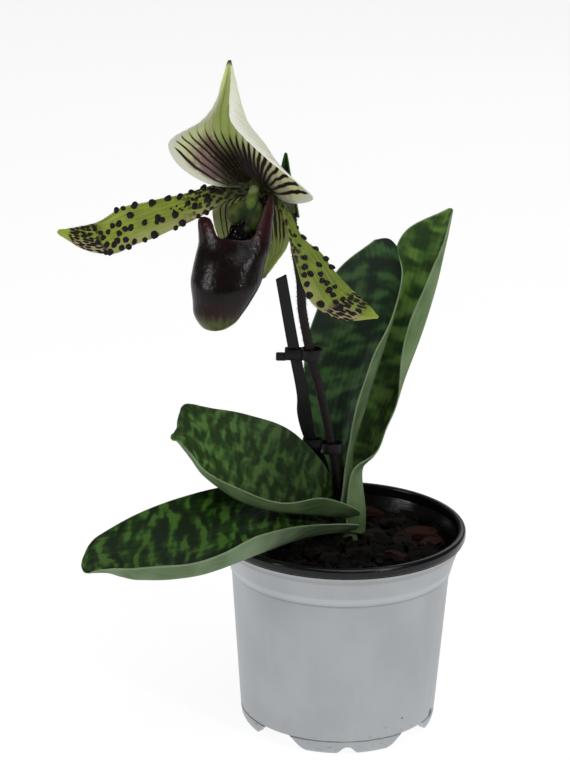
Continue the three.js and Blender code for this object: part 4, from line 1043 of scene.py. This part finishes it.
PETAL_LEFT = [
    [[-44, -20, 272], [-43.5, -21, 270], [-43, -22, 268]],
    [[-58.5, -17, 271], [-56.5, -21, 267.5], [-55, -24, 264.5]],
    [[-72.5, -12, 265.5], [-70, -18, 261], [-68, -22, 256.5]],
    [[-91.5, -6, 259.5], [-89, -12, 252.5], [-86, -17, 246.5]],
    [[-104.5, -3, 255.5], [-102, -8, 246.5], [-98.5, -13, 240.5]],
    [[-115.5, -2, 248.5], [-113, -6, 241], [-108.5, -10, 235.5]],
    [[-125, -2, 246], [-124, -4, 241], [-121, -6, 236]],
    [[-133.5, -2, 244.5], [-134.5, -3, 243.5], [-133, -3.5, 242]],
]

PETAL_RIGHT = [
    [[-39, -19, 270.5], [-40, -20.5, 269.5], [-41, -22, 268.5]],
    [[-29, -27, 263.5], [-30.5, -30, 263], [-32, -32, 263]],
    [[-22, -32, 251.5], [-24.5, -37, 251], [-27, -40, 251]],
    [[-13, -38, 244.5], [-18, -44, 243], [-23.5, -47, 240]],
    [[-6.5, -45, 238], [-12.5, -50, 234.5], [-20, -52, 231]],
    [[-0.5, -52, 233], [-7, -56, 228.5], [-14.5, -57, 224.5]],
    [[6.5, -58, 228.5], [2.5, -61, 225], [-3, -61, 220]],
    [[12.4, -62.9, 223], [12.8, -63, 222.4], [12.1, -63.3, 221.8]],
]

# Each wart: its place in the picture and its radius
WARTS_LEFT = [
    (117, 210, 1.1), (123.5, 208.5, 1.0), (135, 205.5, 1.3), (153, 203, 1.5), (169, 199, 1.4),
    (180, 197, 1.2), (191, 193, 1.2), (204, 188, 1.3), (216, 185, 1.2), (131, 216, 1.4), (146, 222.5, 1.1),
    (159, 218, 1.2), (163, 220, 1.2), (158, 222, 1.0), (176, 215, 1.4), (189, 204, 1.1), (195, 206.5, 1.2),
    (192, 200, 0.6), (200, 197, 0.7), (208, 198, 1.2), (211, 200, 1.0), (120, 224, 1.2), (113, 226, 1.0),
    (126, 229, 1.1), (132, 228, 1.2), (119.5, 234, 1.1), (118, 241, 1.2), (115, 245, 1.1), (126, 240, 1.2),
    (208, 213, 1.0), (198, 216.5, 0.9), (183, 223, 1.4), (175.5, 228, 1.0), (155, 235, 1.5),
    (145, 240, 1.0), (135.5, 242, 1.1), (129, 247, 1.2), (122, 248, 1.1), (111, 252.5, 1.2),
    (106, 252.5, 1.0), (109, 232, 0.9), (104, 238, 1.0), (98, 243, 1.0), (107, 245, 1.1), (95, 229, 0.8),
    (101, 233, 0.9), (213, 191, 1.1), (219, 193, 1.0), (224, 190, 1.0),
]
WARTS_RIGHT = [
    (303, 238, 1.3), (315.5, 249, 1.3), (326, 259, 1.2), (332, 267, 1.2), (304, 258, 1.1), (305, 267, 1.1),
    (318, 265, 1.2), (320.5, 275, 1.0), (321.5, 281, 1.0), (310, 274, 1.2), (307, 284.5, 1.0),
    (310, 296, 1.3), (321, 304, 1.4), (329, 291, 1.2), (333, 296, 1.1), (297, 228, 0.9), (294, 236, 0.8),
    (299, 246, 0.8), (304, 275, 1.0), (327, 284, 1.0), (336, 302, 1.1), (343, 300, 0.9), (341, 309, 1.0),
    (335, 287, 0.9),
]
WART_SCALE = 1.34
# A row of small warts on the left petal
FLECKS = [(i * 3 + 171, 209 + 2.2 * math.sin(i * 2.2), 0.45) for i in range(6)]

BRACT = [
    [[-29.7, 1.2, 250], [-29.2, 5.2, 250], [-26, 6.6, 250], [-23, 4.6, 250.5], [-23, 1, 251]],
    [[-31.8, 2, 259], [-31.2, 6.5, 260], [-27.5, 8.8, 260], [-25, 7, 260.5], [-24.8, 2.6, 260.5]],
    [[-32, 6, 268], [-31.4, 8.6, 269], [-29, 10.6, 269], [-27.2, 9, 269.5], [-27, 6, 269]],
    [[-29.9, 9.4, 279.2], [-29.6, 9.8, 279.7], [-29.3, 10.2, 279.7],
     [-28.9, 9.8, 279.7], [-28.6, 9.4, 279.2]],
]

# The pouch in level sections from the top: middle, half width to the flower's right, half depth forward
POUCH_SECTIONS = [
    (-46, -25, 272, 9.5, 7), (-49, -29, 266, 13, 9.5), (-51, -34, 257.5, 15.2, 12),
    (-51.5, -38, 248.5, 16.2, 13.5), (-53, -41, 243.5, 16.3, 14), (-54.5, -44, 236, 16.4, 14.3),
    (-55.5, -46, 231.5, 15.8, 13.8), (-57, -48, 224.5, 13.2, 12), (-58.5, -49.5, 219.5, 11.2, 10.4),
    (-59, -50.5, 216, 9, 8.4), (-59.7, -51, 213.2, 5.8, 5.6), (-60, -51, 212, 2.8, 2.8),
]
POUCH_TOE = (-60, -51, 211.6)
POUCH_WALL = 1.1
# Pale balls on the lumps inside, painted highlights that stand in for their wet glints: each one's place in
# the picture and its radius
POUCH_PAINTED_GLINTS = [
    (235, 231, 0.45), (236.5, 236, 0.38), (233, 235, 0.32), (253.5, 231, 0.45), (255.5, 237, 0.65),
    (251.5, 234, 0.36), (240.5, 237.5, 0.34),
]
# Height of the rim round the opening, from the front (0 degrees) round by the flower's right and back again
POUCH_RIM = [
    (0, 252.4), (15, 252.4), (32, 252.2), (48, 252.5), (57, 254.2), (66, 259.5), (75, 265.5), (86, 269),
    (130, 268), (150, 266), (180, 264), (198, 261), (208, 254), (216, 247.5), (235, 245.5), (255, 247.5),
    (273, 250.5), (285, 253.2), (295, 256), (303, 258.2), (312, 259.6), (323, 260.1), (331, 259.9),
    (337, 258.7), (342, 256.2), (348, 253.6), (355, 252.6), (360, 252.4),
]
# Each lobe of the rim: its middle and reach in degrees, the heights it leans out between, and its lean
POUCH_EARS = [(310, 62, 243, 259, 3.4), (100, 55, 240, 262, 2.4)]

STAMINODE = [
    [[-49.5, -29, 264.9], [-46.8, -30.5, 265.8], [-44.1, -31, 265.9],
     [-41.8, -31.5, 265.6], [-40, -31.5, 264.7]],
    [[-54.4, -29.5, 263.1], [-49.8, -32, 263.8], [-44.9, -33, 263.6],
     [-41.3, -33.8, 263.4], [-38.6, -33.5, 262]],
    [[-55.5, -30, 260.5], [-50.7, -33, 261.3], [-45.7, -34, 261.1],
     [-41.2, -35.2, 260.6], [-38.3, -34.6, 259.1]],
    [[-55, -30.4, 257.8], [-51.1, -33, 258.3], [-46.6, -34, 258.8],
     [-41.6, -35.8, 257.5], [-38.5, -35, 256.2]],
    [[-52.9, -31, 255.7], [-50.9, -32.5, 255.8], [-47.7, -33.5, 257.7],
     [-43.4, -35, 254.3], [-40.3, -35, 254.1]],
]
COLUMN_PATH = [
    [-43, -18.5, 269.5], [-43.2, -23, 269.6], [-43.6, -27.5, 268.4], [-44.2, -31, 265.6],
    [-44.7, -32.5, 262.6], [-45.2, -33, 260.4],
]
COLUMN_RADII = [1.8, 2.1, 2.6, 3, 2.3, 0.9]
STIGMA_AT = (-45.4, -31.6, 253.4)

# The stake's left and right edges, from its top down
STAKE = [
    [[-33.1, 4.6, 220], [-28.1, 4.6, 222.6]],
    [[-27.5, 9, 188.5], [-22, 9, 188.5]],
    [[-22.6, 12, 163], [-17, 12, 163]],
    [[-22, 14.4, 151], [-15, 14.4, 151]],
    [[-18.6, 17.6, 138], [-12.8, 17.6, 138]],
    [[-11.4, 23, 121], [-6.4, 23, 121]],
    [[-9.6, 27, 102], [-4.6, 27, 102]],
    [[-8.6, 29, 84], [-3.6, 29, 84]],
]
STAKE_THICKNESS = 2.6
# The outer and inner radius of a clip's ring, and the width and depth of the opening in its sleeve
CLIP_RING, CLIP_HOLE = (5.3, 4.2), (6.9, STAKE_THICKNESS + 1)
CLIP_HEIGHT, CLIP_STRAP, CLIP_SOFT, CLIP_CORNER = 5, 1.3, 0.35, 0.8
CLIPS = {
    # node: (ring's middle on the stem, sleeve's middle on the stake, length of its tail)
    "clip_upper": ([-15.7, 8.6, 183], [-23.7, 9.6, 182.6], 5),
    "clip_lower": ([-5.1, 15.3, 134], [-14.4, 18.4, 134.4], 0),
}


# ---------------------------------------------------------------- plant: pieces

LEAF_GROOVE, LEAF_WAVE, LEAF_THICKNESS, LEAF_EDGE, LEAF_COLUMNS = 0.35, 0.22, 1.3, 0.42, 56


def leaf_relief(seed):
    """The trough over a leaf's midrib, its ribs, soft swells and a slightly waved margin."""

    def relief(across, along, rim):
        swell = np.sin(along / 9.1 + seed) * np.sin(across / 6.3 + seed * 2)
        edge = 0.6 * np.sin(along / 4.3 + seed * 3) * np.exp(-rim / 5)
        trough = LEAF_GROOVE * np.exp(-(across / 1.7) ** 2)
        return 0.05 * np.cos(across * FULL_TURN / 3.4) - trough + LEAF_WAVE * (swell + edge)

    return relief


def make_leaf(node, net, front, rows, middle, upper, under, seed):
    leaf = Piece(node + "_blade", "leaf", node)
    blade(leaf, net, (rows, LEAF_COLUMNS), LEAF_THICKNESS, front, upper, under, middle, LEAF_EDGE,
          leaf_relief(seed))
    leaf.make(sharp=60)


def make_crown_and_roots(crown_skin, root_skin):
    crown = Piece("crown_and_root_system", "root", "crown_and_roots")
    (x, y), rings, sides = CROWN_AT, 30, 40
    z = np.linspace(CROWN_BOTTOM, CROWN_TOP, rings)[:, None]
    radii = spline(CROWN_RADII, np.linspace(0, 1, rings))[:, None]
    angle = around(sides)
    swell = radii + 0.22 * np.sin(z * 1.9) + 0.25 * np.sin(3 * angle + z * 0.1)
    points = np.stack([x + swell * np.cos(angle), y + swell * np.sin(angle), np.repeat(z, sides, 1)], -1)
    crown.add(points, capped(rings, sides), crown_skin)
    for path in ROOTS:
        tube(crown, path, ROOT_RADII, sides=14, steps=40, material=root_skin)
    crown.make()


def make_stem(skin, hair):
    stem = Piece("flower_stem_hairy", "stem", "flower_stem")
    line = tube(stem, STEM_PATH, [STEM_RADIUS] * 3, sides=20, steps=120, material=skin)
    fur(stem, line, seed=5, count=1500, rows=(14, 120), lean=0.35, lengths=(0.7, 1.2), material=hair,
        thick=0.09, loose=(0.7, 0.15))
    stem.make()


def make_ovary(skin, hair):
    ovary = Piece("ovary_ribbed", "ovary", "ovary")
    line = tube(ovary, OVARY_PATH, OVARY_RADII, sides=36, steps=36, material=skin, ribs=0.07)
    balls(ovary, [(np.array(OVARY_PATH[-1]), RECEPTACLE_RADIUS, np.array([0, 0, 1]))], 1, skin, level=4)
    fur(ovary, line, seed=6, count=260, rows=(0, 30), lean=0.3, lengths=(0.5, 0.9), material=hair)
    ovary.make(sharp=60)


def fringe(piece, grid, places, push, lengths, material):
    """Hairs on the margin of a blade, at rows and columns of its grid."""
    i, j = np.transpose(places)
    out = unit(grid[i, j] - grid[i, grid.shape[1] // 2])
    hairs(piece, grid[i, j], unit(out + push), lengths, material)


def make_bract(skin, hair):
    bract = Piece("bract_green", "bract", "bract")
    random, count, rows, columns = np.random.default_rng(8), 160, 40, 30
    grid, _, _ = blade(bract, BRACT, (rows, columns), 0.9, -1, skin, skin, edge=0.45)
    places = [(random.integers(2, rows - 1), random.choice([0, columns])) for _ in range(count)]
    fringe(bract, grid, places, [0, 0, 0.4], random.uniform(0.4, 0.8, count), hair)
    bract.make(sharp=60)


def sepal_relief(across, along, rim):
    """The trough over the keel of a sepal, and its raised veins."""
    return 0.07 * np.cos(across * FULL_TURN / 3.1) - 0.22 * np.exp(-(across / 1.2) ** 2)


def dorsal_fan(flat, params):
    """Stripes that spread from the base and bend towards the tip."""
    across, along = flat[..., 0], flat[..., 1] + FAN_START
    turn = np.where(across < 0, *np.radians(FAN_TURNS))
    away = np.hypot(across, along)
    bent = 1 + np.where(across < 0, *FAN_BENDS) * (away / 45) ** 2
    return np.stack([np.arctan2(across, along) * bent / turn, away * turn / bent], -1)


def ventral_fan(flat, params):
    """Stripes that run from the base to the tip, closer together where the blade is narrow."""
    width = flat[:, -1, 0] - flat[:, 0, 0]
    gap = np.repeat(width[:, None] / VENTRAL_STRIPES, flat.shape[1], 1)
    return np.stack([(params[..., 1] - 0.5) * VENTRAL_STRIPES, gap], -1)


def make_sepal(node, net, front, size, inner, outer, fan):
    sepal = Piece(node + "_blade", "sepal", node)
    blade(sepal, net, size, 1, front, inner, outer, relief=sepal_relief, fan=fan)
    sepal.make(sharp=60)


def petal_relief(across, along, rim):
    """Lengthwise veins, and a margin that waves."""
    veins = 0.1 * np.cos(across * FULL_TURN / 2.1) * np.minimum(1, rim / 2)
    return veins + 0.25 * np.sin(along / 3.1) * np.exp(-rim / 1.5)


def make_petal(node, net, front, warts, skin, back, wart_skin, hair):
    petal = Piece(node + "_blade", "petal", node)
    rows, columns = size = (160, 40)
    grid, normals, half = blade(petal, net, size, 1.1, front, skin, back, edge=0.45, relief=petal_relief)
    shown, lumps = pixels(grid), []
    for u, v, radius in warts:
        at = nearest_pixel(shown, u, v)
        lumps.append((grid[at] + normals[at] * (half[at] + 0.05), radius * WART_SCALE, normals[at]))
    balls(petal, lumps, 0.45, wart_skin, uneven=0.14)
    random = np.random.default_rng(len(warts))
    places = [(i, j) for j in (0, columns) for i in range(10, rows - 10)]
    push = random.normal(0, 0.3, (len(places), 3))
    fringe(petal, grid, places, push, random.uniform(0.5, 1.1, len(places)), hair)
    petal.make(sharp=60)


def make_pouch(skin, inner_skin, lump_skin, painted_glint_skin):
    pouch = Piece("pouch_shell", "pouch", "pouch")
    sides, rows, fine_sections, lump_count = 120, 64, 240, 240
    sections = spline(POUCH_SECTIONS, np.linspace(0, 1, fine_sections))
    sections = sections[np.argsort(sections[:, 2])]
    degrees = np.arange(sides) * 360 / sides
    across, ahead = np.sin(np.radians(degrees)), np.cos(np.radians(degrees))
    rim_angles, rim_heights = np.array(POUCH_RIM, float).T
    k = np.searchsorted(rim_angles, degrees, side="right") - 1
    share = smooth((degrees - rim_angles[k]) / (rim_angles[k + 1] - rim_angles[k]))
    rim = rim_heights[k] + (rim_heights[k + 1] - rim_heights[k]) * share

    def lean(z):
        """How far the lobes lean outward."""
        leans = []
        for middle, reach, start, top, most in POUCH_EARS:
            near = smooth(np.clip(1 - np.abs(degrees - middle) / reach, 0, 1))
            leans.append(most * near * np.clip((z - start) / (top - start), 0, 1) ** 1.5)
        return np.maximum(*leans)

    def wall(inset):
        """Rings of points from the rim down to the toe, this far inside the outer face."""
        rings = []
        for share in 1 - (1 - np.linspace(0, 1, rows)) ** 1.5:
            z = rim + (POUCH_SECTIONS[-1][2] - rim) * share
            x, y, width, depth = [np.interp(z, sections[:, 2], sections[:, c]) for c in (0, 1, 3, 4)]
            out = lean(z) - inset
            rings.append(np.stack([x, y, z + inset * share ** 3], -1)
                         + ((width + out) * across)[:, None] * FLOWER_RIGHT
                         + ((depth + out) * ahead)[:, None] * FLOWER_FORWARD)
        return rings

    outer, inner = wall(0), wall(POUCH_WALL)
    lip = [outer[0] * (1 - s) + inner[0] * s + [0, 0, 0.55 * math.sin(math.pi * s)]
           for s in (0.25, 0.5, 0.75)]
    rings = outer[::-1] + lip + inner
    last = (len(rings) - 1) * sides
    toes = np.add(POUCH_TOE, [[0, 0, 0], [0, 0, POUCH_WALL]])
    pairs = [(j, (j + 1) % sides) for j in range(sides)]
    faces = quads(len(rings), sides, wrap=True) + [[last + sides, b, a] for a, b in pairs]
    faces += [[last + sides + 1, last + a, last + b] for a, b in pairs]
    outside = (rows + 2) * sides
    paint = [skin] * outside + [inner_skin] * (last - outside) + [skin] * sides + [inner_skin] * sides
    pouch.add(np.concatenate([*rings, toes]), faces, paint)

    def lump(i, j, radius, out):
        """A lump on the inner face, for balls."""
        axis = unit(inner[i].mean(0) - inner[i][j])
        return inner[i][j] + axis * out, radius, axis

    random = np.random.default_rng(4)
    lumps = [lump(random.integers(1, 26), int(random.normal(180, 60) / 360 * sides) % sides,
                  random.uniform(0.45, 0.85), 0.1) for _ in range(lump_count)]
    balls(pouch, lumps, 0.7, lump_skin)
    shown = pixels(inner[:40])
    # Painted highlights: pale balls on the lumps where their glints show
    drops = [lump(*nearest_pixel(shown, u, v, 50 * (ahead > 0)), radius, 0.8) for u, v, radius in POUCH_PAINTED_GLINTS]
    balls(pouch, drops, 0.8, painted_glint_skin)
    pouch.make(sharp=60)


def shield_relief(across, along, rim):
    """The rounded lobes on each side of a shallow trough."""
    lobes = 0.35 * np.exp(-((np.abs(across) - 4.5) / 2.2) ** 2)
    return lobes - 0.3 * np.exp(-across ** 2) * np.clip((along - 4) / 3, 0, 1)


def make_staminode(shield, column, stigma):
    boss = Piece("staminode_shield", "staminode", "staminode")
    blade(boss, STAMINODE, (48, 60), 2.2, -1, shield, shield, edge=0.3, relief=shield_relief)
    tube(boss, COLUMN_PATH, COLUMN_RADII, sides=32, steps=40, material=column)
    balls(boss, [(STIGMA_AT, 2, FLOWER_FORWARD)], 0.7, stigma, level=3)
    boss.make(sharp=60)


def make_stake(skin):
    """A flat bar with rounded edges and a shallow groove down the middle of each face."""
    stake = Piece("stake_bar", "black_plastic", "stake")
    rows, columns, sides = 90, 10, 32
    grid = net_grid(STAKE, rows, columns)
    c, s = np.cos(around(sides)), np.sin(around(sides))
    x, y = np.sign(c) * np.abs(c) ** 0.35, np.sign(s) * np.abs(s) ** 0.35
    x, y = x[:, None], (y * STAKE_THICKNESS / 2 * np.where(np.abs(x) < 0.45, 0.86, 1))[:, None]
    wide, normals = grid[:, -1] - grid[:, 0], grid_normals(grid)[:, columns // 2]
    points = grid.mean(1)[:, None] + wide[:, None] * x / 2 + normals[:, None] * y
    stake.add(points, capped(rows + 1, sides), skin)
    stake.make(sharp=40)


def make_clip(node, skin):
    ring_at, sleeve_at, tail = CLIPS[node]
    clip = Piece(node + "_moulded", "black_plastic", node)
    (outer, inner), half, soft, corner = CLIP_RING, CLIP_HEIGHT / 2, CLIP_SOFT, CLIP_CORNER
    profile = [[inner, soft - half], [inner, half - soft]]
    for r, z, start in ((inner + soft, half - soft, 180), (outer - soft, half - soft, 90),
                        (outer - soft, soft - half, 0), (inner + soft, soft - half, 270)):
        profile += arc((r, z), (soft, soft), start, start - 90, 4)
    lathe(clip, profile, 56, [skin] * (len(profile) - 1), ring_at)

    def band(size, at, hole=None):
        """A rounded rectangular sleeve, or a solid block where there is no hole."""
        outline = []
        for quarter, (x, y) in enumerate([(1, 1), (-1, 1), (-1, -1), (1, -1)]):
            middle = (x * (size[0] / 2 - corner), y * (size[1] / 2 - corner))
            outline += arc(middle, (corner, corner), quarter * 90, quarter * 90 + 90, 5)
        outline, n, top = np.array(outline), len(outline), size[2] / 2
        shell = [np.c_[outline * share, np.full(n, z)]
                 for z, share in ((-top, 0.92), (soft - top, 1), (top - soft, 1), (top, 0.92))]
        if hole is None:
            clip.add(np.array(shell) + at, capped(4, n), skin)
            return
        core = [np.c_[outline * np.divide(hole, size[:2]), np.full(n, z)] for z in (top, -top)]
        clip.add(np.array(shell + core + shell[:1]) + at, quads(7, n, wrap=True), skin)

    band((CLIP_HOLE[0] + 2 * CLIP_STRAP, CLIP_HOLE[1] + 2 * CLIP_STRAP, CLIP_HEIGHT), sleeve_at, CLIP_HOLE)
    if tail:
        band((tail, 2.4, 3.6), np.add(sleeve_at, [-CLIP_HOLE[0] / 2 - CLIP_STRAP - tail / 3, 0, -1.5]))
    clip.make(sharp=50, merge=True)


# ---------------------------------------------------------------- the scene

add_camera()
add_lights()
add_floor()

SKINS = {
    # name: (dark and light tones, lumps a millimetre, relief, roughness from and to, gloss)
    "pot_black": ("08090a", "0d0e10", 0.15, 0.08, (0.16, 0.26), 0.3),
    "root_velvet": ("5d5a42", "84805c", 0.5, 0.25, (0.7, 0.85)),
    "crown_sheath": ("4c613a", "6f7f58", 0.3, 0.2, (0.5, 0.6)),
    "stem_skin": ("100a0b", "1b1111", 0.35, 0.2, (0.5, 0.65)),
    "hair_dark": ("1a1011", "281a1a", 0.5, 0.02, (0.6, 0.7)),
    "hair_pale": ("6d7a4e", "8b9468", 0.5, 0.02, (0.6, 0.7)),
    "ovary_skin": ("2c3218", "454a22", 0.4, 0.2, (0.5, 0.6)),
    "bract_skin": ("22401b", "385a26", 0.3, 0.2, (0.45, 0.6)),
    "wart_skin": ("0d0507", "19090e", 0.8, 0.15, (0.5, 0.6)),
    "petal_hair": ("1b0d10", "2a1517", 0.5, 0.02, (0.5, 0.6)),
    "pouch_lining": ("0d0607", "1d0d0e", 0.3, 0.3, (0.3, 0.45)),
    "pouch_lumps": ("0b0506", "160a0a", 0.5, 0.1, (0.12, 0.2), 0.5),
    # Painted highlights: the pale balls that stand for glints inside the pouch
    "pouch_painted_glints": ("c9c5c0", "e9e6e1", 0.5, 0.05, (0.2, 0.3)),
    "stigma": ("59652f", "7a8450", 0.6, 0.1, (0.4, 0.5)),
    "stake_plastic": ("08090a", "0f1011", 0.3, 0.12, (0.38, 0.5)),
}
LEAVES = {
    # node: (net, upper side of the normals, rows, place of the midrib),
    #       (dark, half and light tones, blotch size, contrast, softness, painted shade and light from base to
    #       tip), (pale and deep tones of the underside)
    "leaf_lower_left": (
        (LEAF_LOWER_LEFT, -1, 150, 0.42),
        ("0d2006", "1c380a", "446a26", 1.15, 0.85, 0.06, (1, 1, 0, 1)), ("7a8c70", "5c704e")),
    "leaf_upper_left": (
        (LEAF_UPPER_LEFT, -1, 130, 0.45),
        ("2a3d1e", "3a5728", "5a7c40", 0.9, 0.85, 0.07, (0.46, 1.15, 38, 90)), ("667a50", "445c34")),
    "leaf_front_right": (
        (LEAF_FRONT_RIGHT, 1, 130, 0.55),
        ("18261a", "243b1f", "3d5c33", 1.4, 0.8, 0.1, (1.05, 1.05, 30, 60)), ("5d7048", "3a4f2d")),
    "leaf_back_right": (
        (LEAF_BACK_RIGHT, 1, 160, 0.5),
        ("203217", "354e20", "5a7838", 1.4, 0.65, 0.12, (0.85, 1.75, 75, 130)), ("71855b", "526a3e")),
}
DORSAL = dict(
    stripe="220a11", stripe_green="7f9140", green_from=28, run_out=0.45, margin="d6d5c6", ground="ccd29a",
    # throat: the hood base's own dark colour, deepened by painted shade
    # tip: a paler tone, partly the hood tip's own colour and partly painted light where its top lies in shade
    throat="17190b", throat_reach=(12, 22), band="a8bb57", band_strength=0.75, tip="dce4a4", point="43551f",
    blush=0.85, widest=0.95, share=0.28, bare=0.3, reach=5)
DORSAL_BACK = dict(DORSAL, stripe="6c5c48", stripe_green="8a9a58", margin="f0efe4", ground="dadec6",
                   tip="dbe0bc", throat="7c8852", blush=0.1)
VENTRAL = dict(
    stripe="20120f", stripe_green="2c3316", green_from=30, run_out=0, margin="a9ae78", ground="8d9850",
    throat="4a5426", throat_reach=(4, 12), band="7c8c40", band_strength=0.2, tip="7c8c40", point="4a5a2a",
    blush=0.1, widest=0.9, share=0.23, bare=0, reach=3)
LEFT = dict(dark="748225", light="8b9a34", pale="a2a958", throat=(9, 29), flecks=34, edged=0, lower=0)
RIGHT = dict(dark="5e7020", light="75872d", pale="8c9648", throat=(8, 22), flecks=20, edged=46, lower=44)

skin = {name: mottled(name, *traits) for name, traits in SKINS.items()}
make_pot(pot_silver(), skin["pot_black"])
make_bark(bark_skin())
make_crown_and_roots(skin["crown_sheath"], skin["root_velvet"])
for order, (node, (shape, upper, under)) in enumerate(LEAVES.items()):
    upper_skin = leaf_upper(node + "_upper", *upper, 40 * order)
    make_leaf(node, *shape, upper_skin, leaf_under(node + "_under", *under), 1.3 * order)
make_stem(skin["stem_skin"], skin["hair_dark"])
make_ovary(skin["ovary_skin"], skin["hair_pale"])
make_bract(skin["bract_skin"], skin["hair_pale"])
make_sepal("dorsal_sepal", DORSAL_SEPAL, 1, (150, 120), striped("dorsal_inner", 1, **DORSAL),
           striped("dorsal_outer", 0.3, **DORSAL_BACK), dorsal_fan)
make_sepal("ventral_sepal", VENTRAL_SEPAL, -1, (90, 80), striped("ventral_inner", 1, **VENTRAL),
           striped("ventral_outer", 0.5, **VENTRAL), ventral_fan)
petal_trim = [petal_skin("petal_back", (1.5, 2.2), (200, 201), **dict(LEFT, flecks=4)),
              skin["wart_skin"], skin["petal_hair"]]
make_petal("petal_left", PETAL_LEFT, -1, WARTS_LEFT + FLECKS,
           petal_skin("petal_left_face", (1.3, 3.4), (5, 23), **LEFT), *petal_trim)
make_petal("petal_right", PETAL_RIGHT, 1, WARTS_RIGHT,
           petal_skin("petal_right_face", (1.3, 3.6), (6.5, 21), **RIGHT), *petal_trim)
make_pouch(pouch_skin(), skin["pouch_lining"], skin["pouch_lumps"], skin["pouch_painted_glints"])
make_staminode(shield_skin(), column_skin(), skin["stigma"])
make_stake(skin["stake_plastic"])
for clip_node in CLIPS:
    make_clip(clip_node, skin["stake_plastic"])

bpy.context.view_layer.update()
